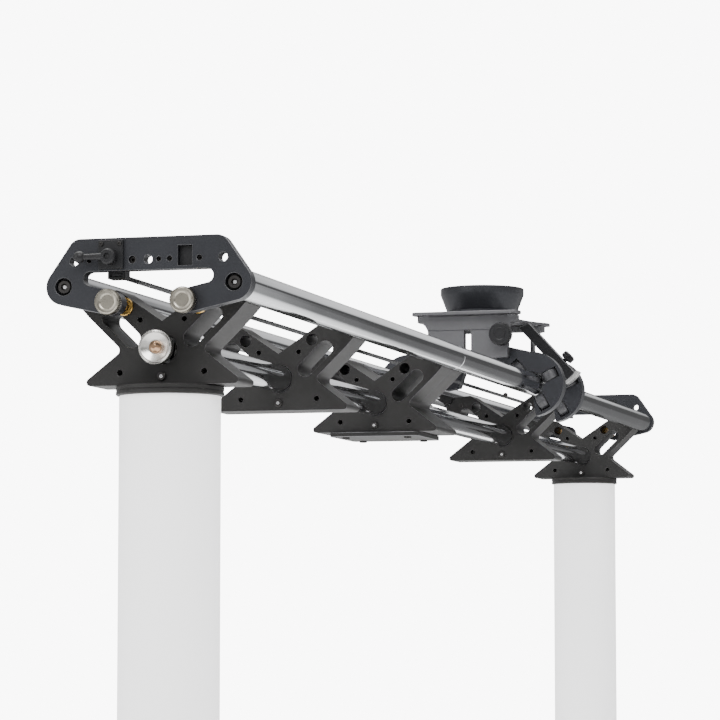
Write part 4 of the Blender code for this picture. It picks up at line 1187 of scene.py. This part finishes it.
def floorAndPlinths():
    paint = Paint("studioFloor", Roughness=0.7, Emission_Color=(1, 1, 1, 1), Emission_Strength=studio.glow)
    paint.tones(paint.noise(0.6, detail=4.0), (0.93, 0.93, 0.93), 0.02)
    away = paint.node("ShaderNodeVectorMath", {"Vector": paint.place()}, "Value", operation="LENGTH")
    fadeStart, fadeEnd = studio.floorFade
    fade = {"Value": away, "From Min": fadeStart, "From Max": fadeEnd, "To Min": 1.0, "To Max": 0.0}
    paint.shade("Alpha", paint.node("ShaderNodeMapRange", fade, interpolation_type="SMOOTHSTEP"))
    ground = bmesh.new()
    rim = circle(0, 0, studio.floorRadius, 96)
    ground.faces.new([ground.verts.new((x, y, -studio.floorDrop)) for x, y in rim])
    stand("studio_floor", meshFrom(ground, "studio_floor"), paint.material)
    radius, top = studio.plinthRadius, studio.floorDrop - studio.plinthGap
    for end in ends:
        middle = middleOf(f"tripod_puck_{end}")
        column = turned([(0, 0), (0, radius), (top, radius), (top, 0)],
            (middle.x, middle.y, -studio.floorDrop), (0, 0, 1), 64)
        data = meshFrom(column, "plinth")
        data.shade_smooth()
        data.set_sharp_from_angle(angle=radians(40))
        stand(f"studio_plinth_{end}", data, paint.material)


def softLight(name, place, target, size, power):
    light = bpy.data.lights.new(name, "AREA")
    light.shape = "RECTANGLE"
    light.size, light.size_y = size
    light.energy = power
    aimAt(bpy.data.objects.new(name, light), place, target, "Z")


def studioWorld():
    world = bpy.data.worlds.new("studio")
    world.use_nodes = True
    tree = world.node_tree

    def node(kind, values):
        return addNode(tree, kind, values)

    def share(axis, start, end):
        values = {"Value": parts.outputs[axis], "From Min": start, "From Max": end}
        return node("ShaderNodeMapRange", values).outputs[0]

    def heightBands(name):
        stops = [((height + 1) / 2, (grey, grey, grey * 1.01)) for height, grey in studio[name]]
        return colourRamp(tree, sine, stops)

    def blend(amount, first, second):
        made = addNode(tree, "ShaderNodeMix", data_type="RGBA")
        for identifier, value in (("Factor_Float", amount), ("A_Color", first), ("B_Color", second)):
            socket = next(item for item in made.inputs if item.identifier == identifier)
            tree.links.new(value, socket)
        return next(item for item in made.outputs if item.identifier == "Result_Color")

    way = node("ShaderNodeTexCoord", {})
    parts = node("ShaderNodeSeparateXYZ", {"Vector": way.outputs["Generated"]})
    sine = share("Z", -1.0, 1.0)
    turn = share("Y", *studio.cardTurn)
    card = share("X", studio.cardStart, studio.cardEnd)
    cards = blend(turn, heightBands("frontCard"), heightBands("backCard"))
    colour = blend(card, heightBands("bands"), cards)
    room = node("ShaderNodeBackground", {"Color": colour, "Strength": studio.room})
    backdrop = node("ShaderNodeBackground", {"Color": (1, 1, 1, 1), "Strength": studio.backdrop})
    seen = node("ShaderNodeLightPath", {})
    mix = node("ShaderNodeMixShader", {0: seen.outputs["Is Camera Ray"], 1: room.outputs[0],
        2: backdrop.outputs[0]})
    tree.links.new(mix.outputs[0], tree.nodes["World Output"].inputs[0])
    return world


def lightsAndCamera():
    scene.world = studioWorld()
    for name, lamp in lamps.items():
        softLight(name, *lamp)
    lens = bpy.data.cameras.new("camera")
    lens.lens = studio.lens
    lens.sensor_width = 36
    lens.clip_start = 0.05
    lens.clip_end = 100
    camera = bpy.data.objects.new("camera", lens)
    aimAt(camera, studio.eye, studio.aim, "-Z")
    scene.camera = camera


floorAndPlinths()
lightsAndCamera()
print("studio done")
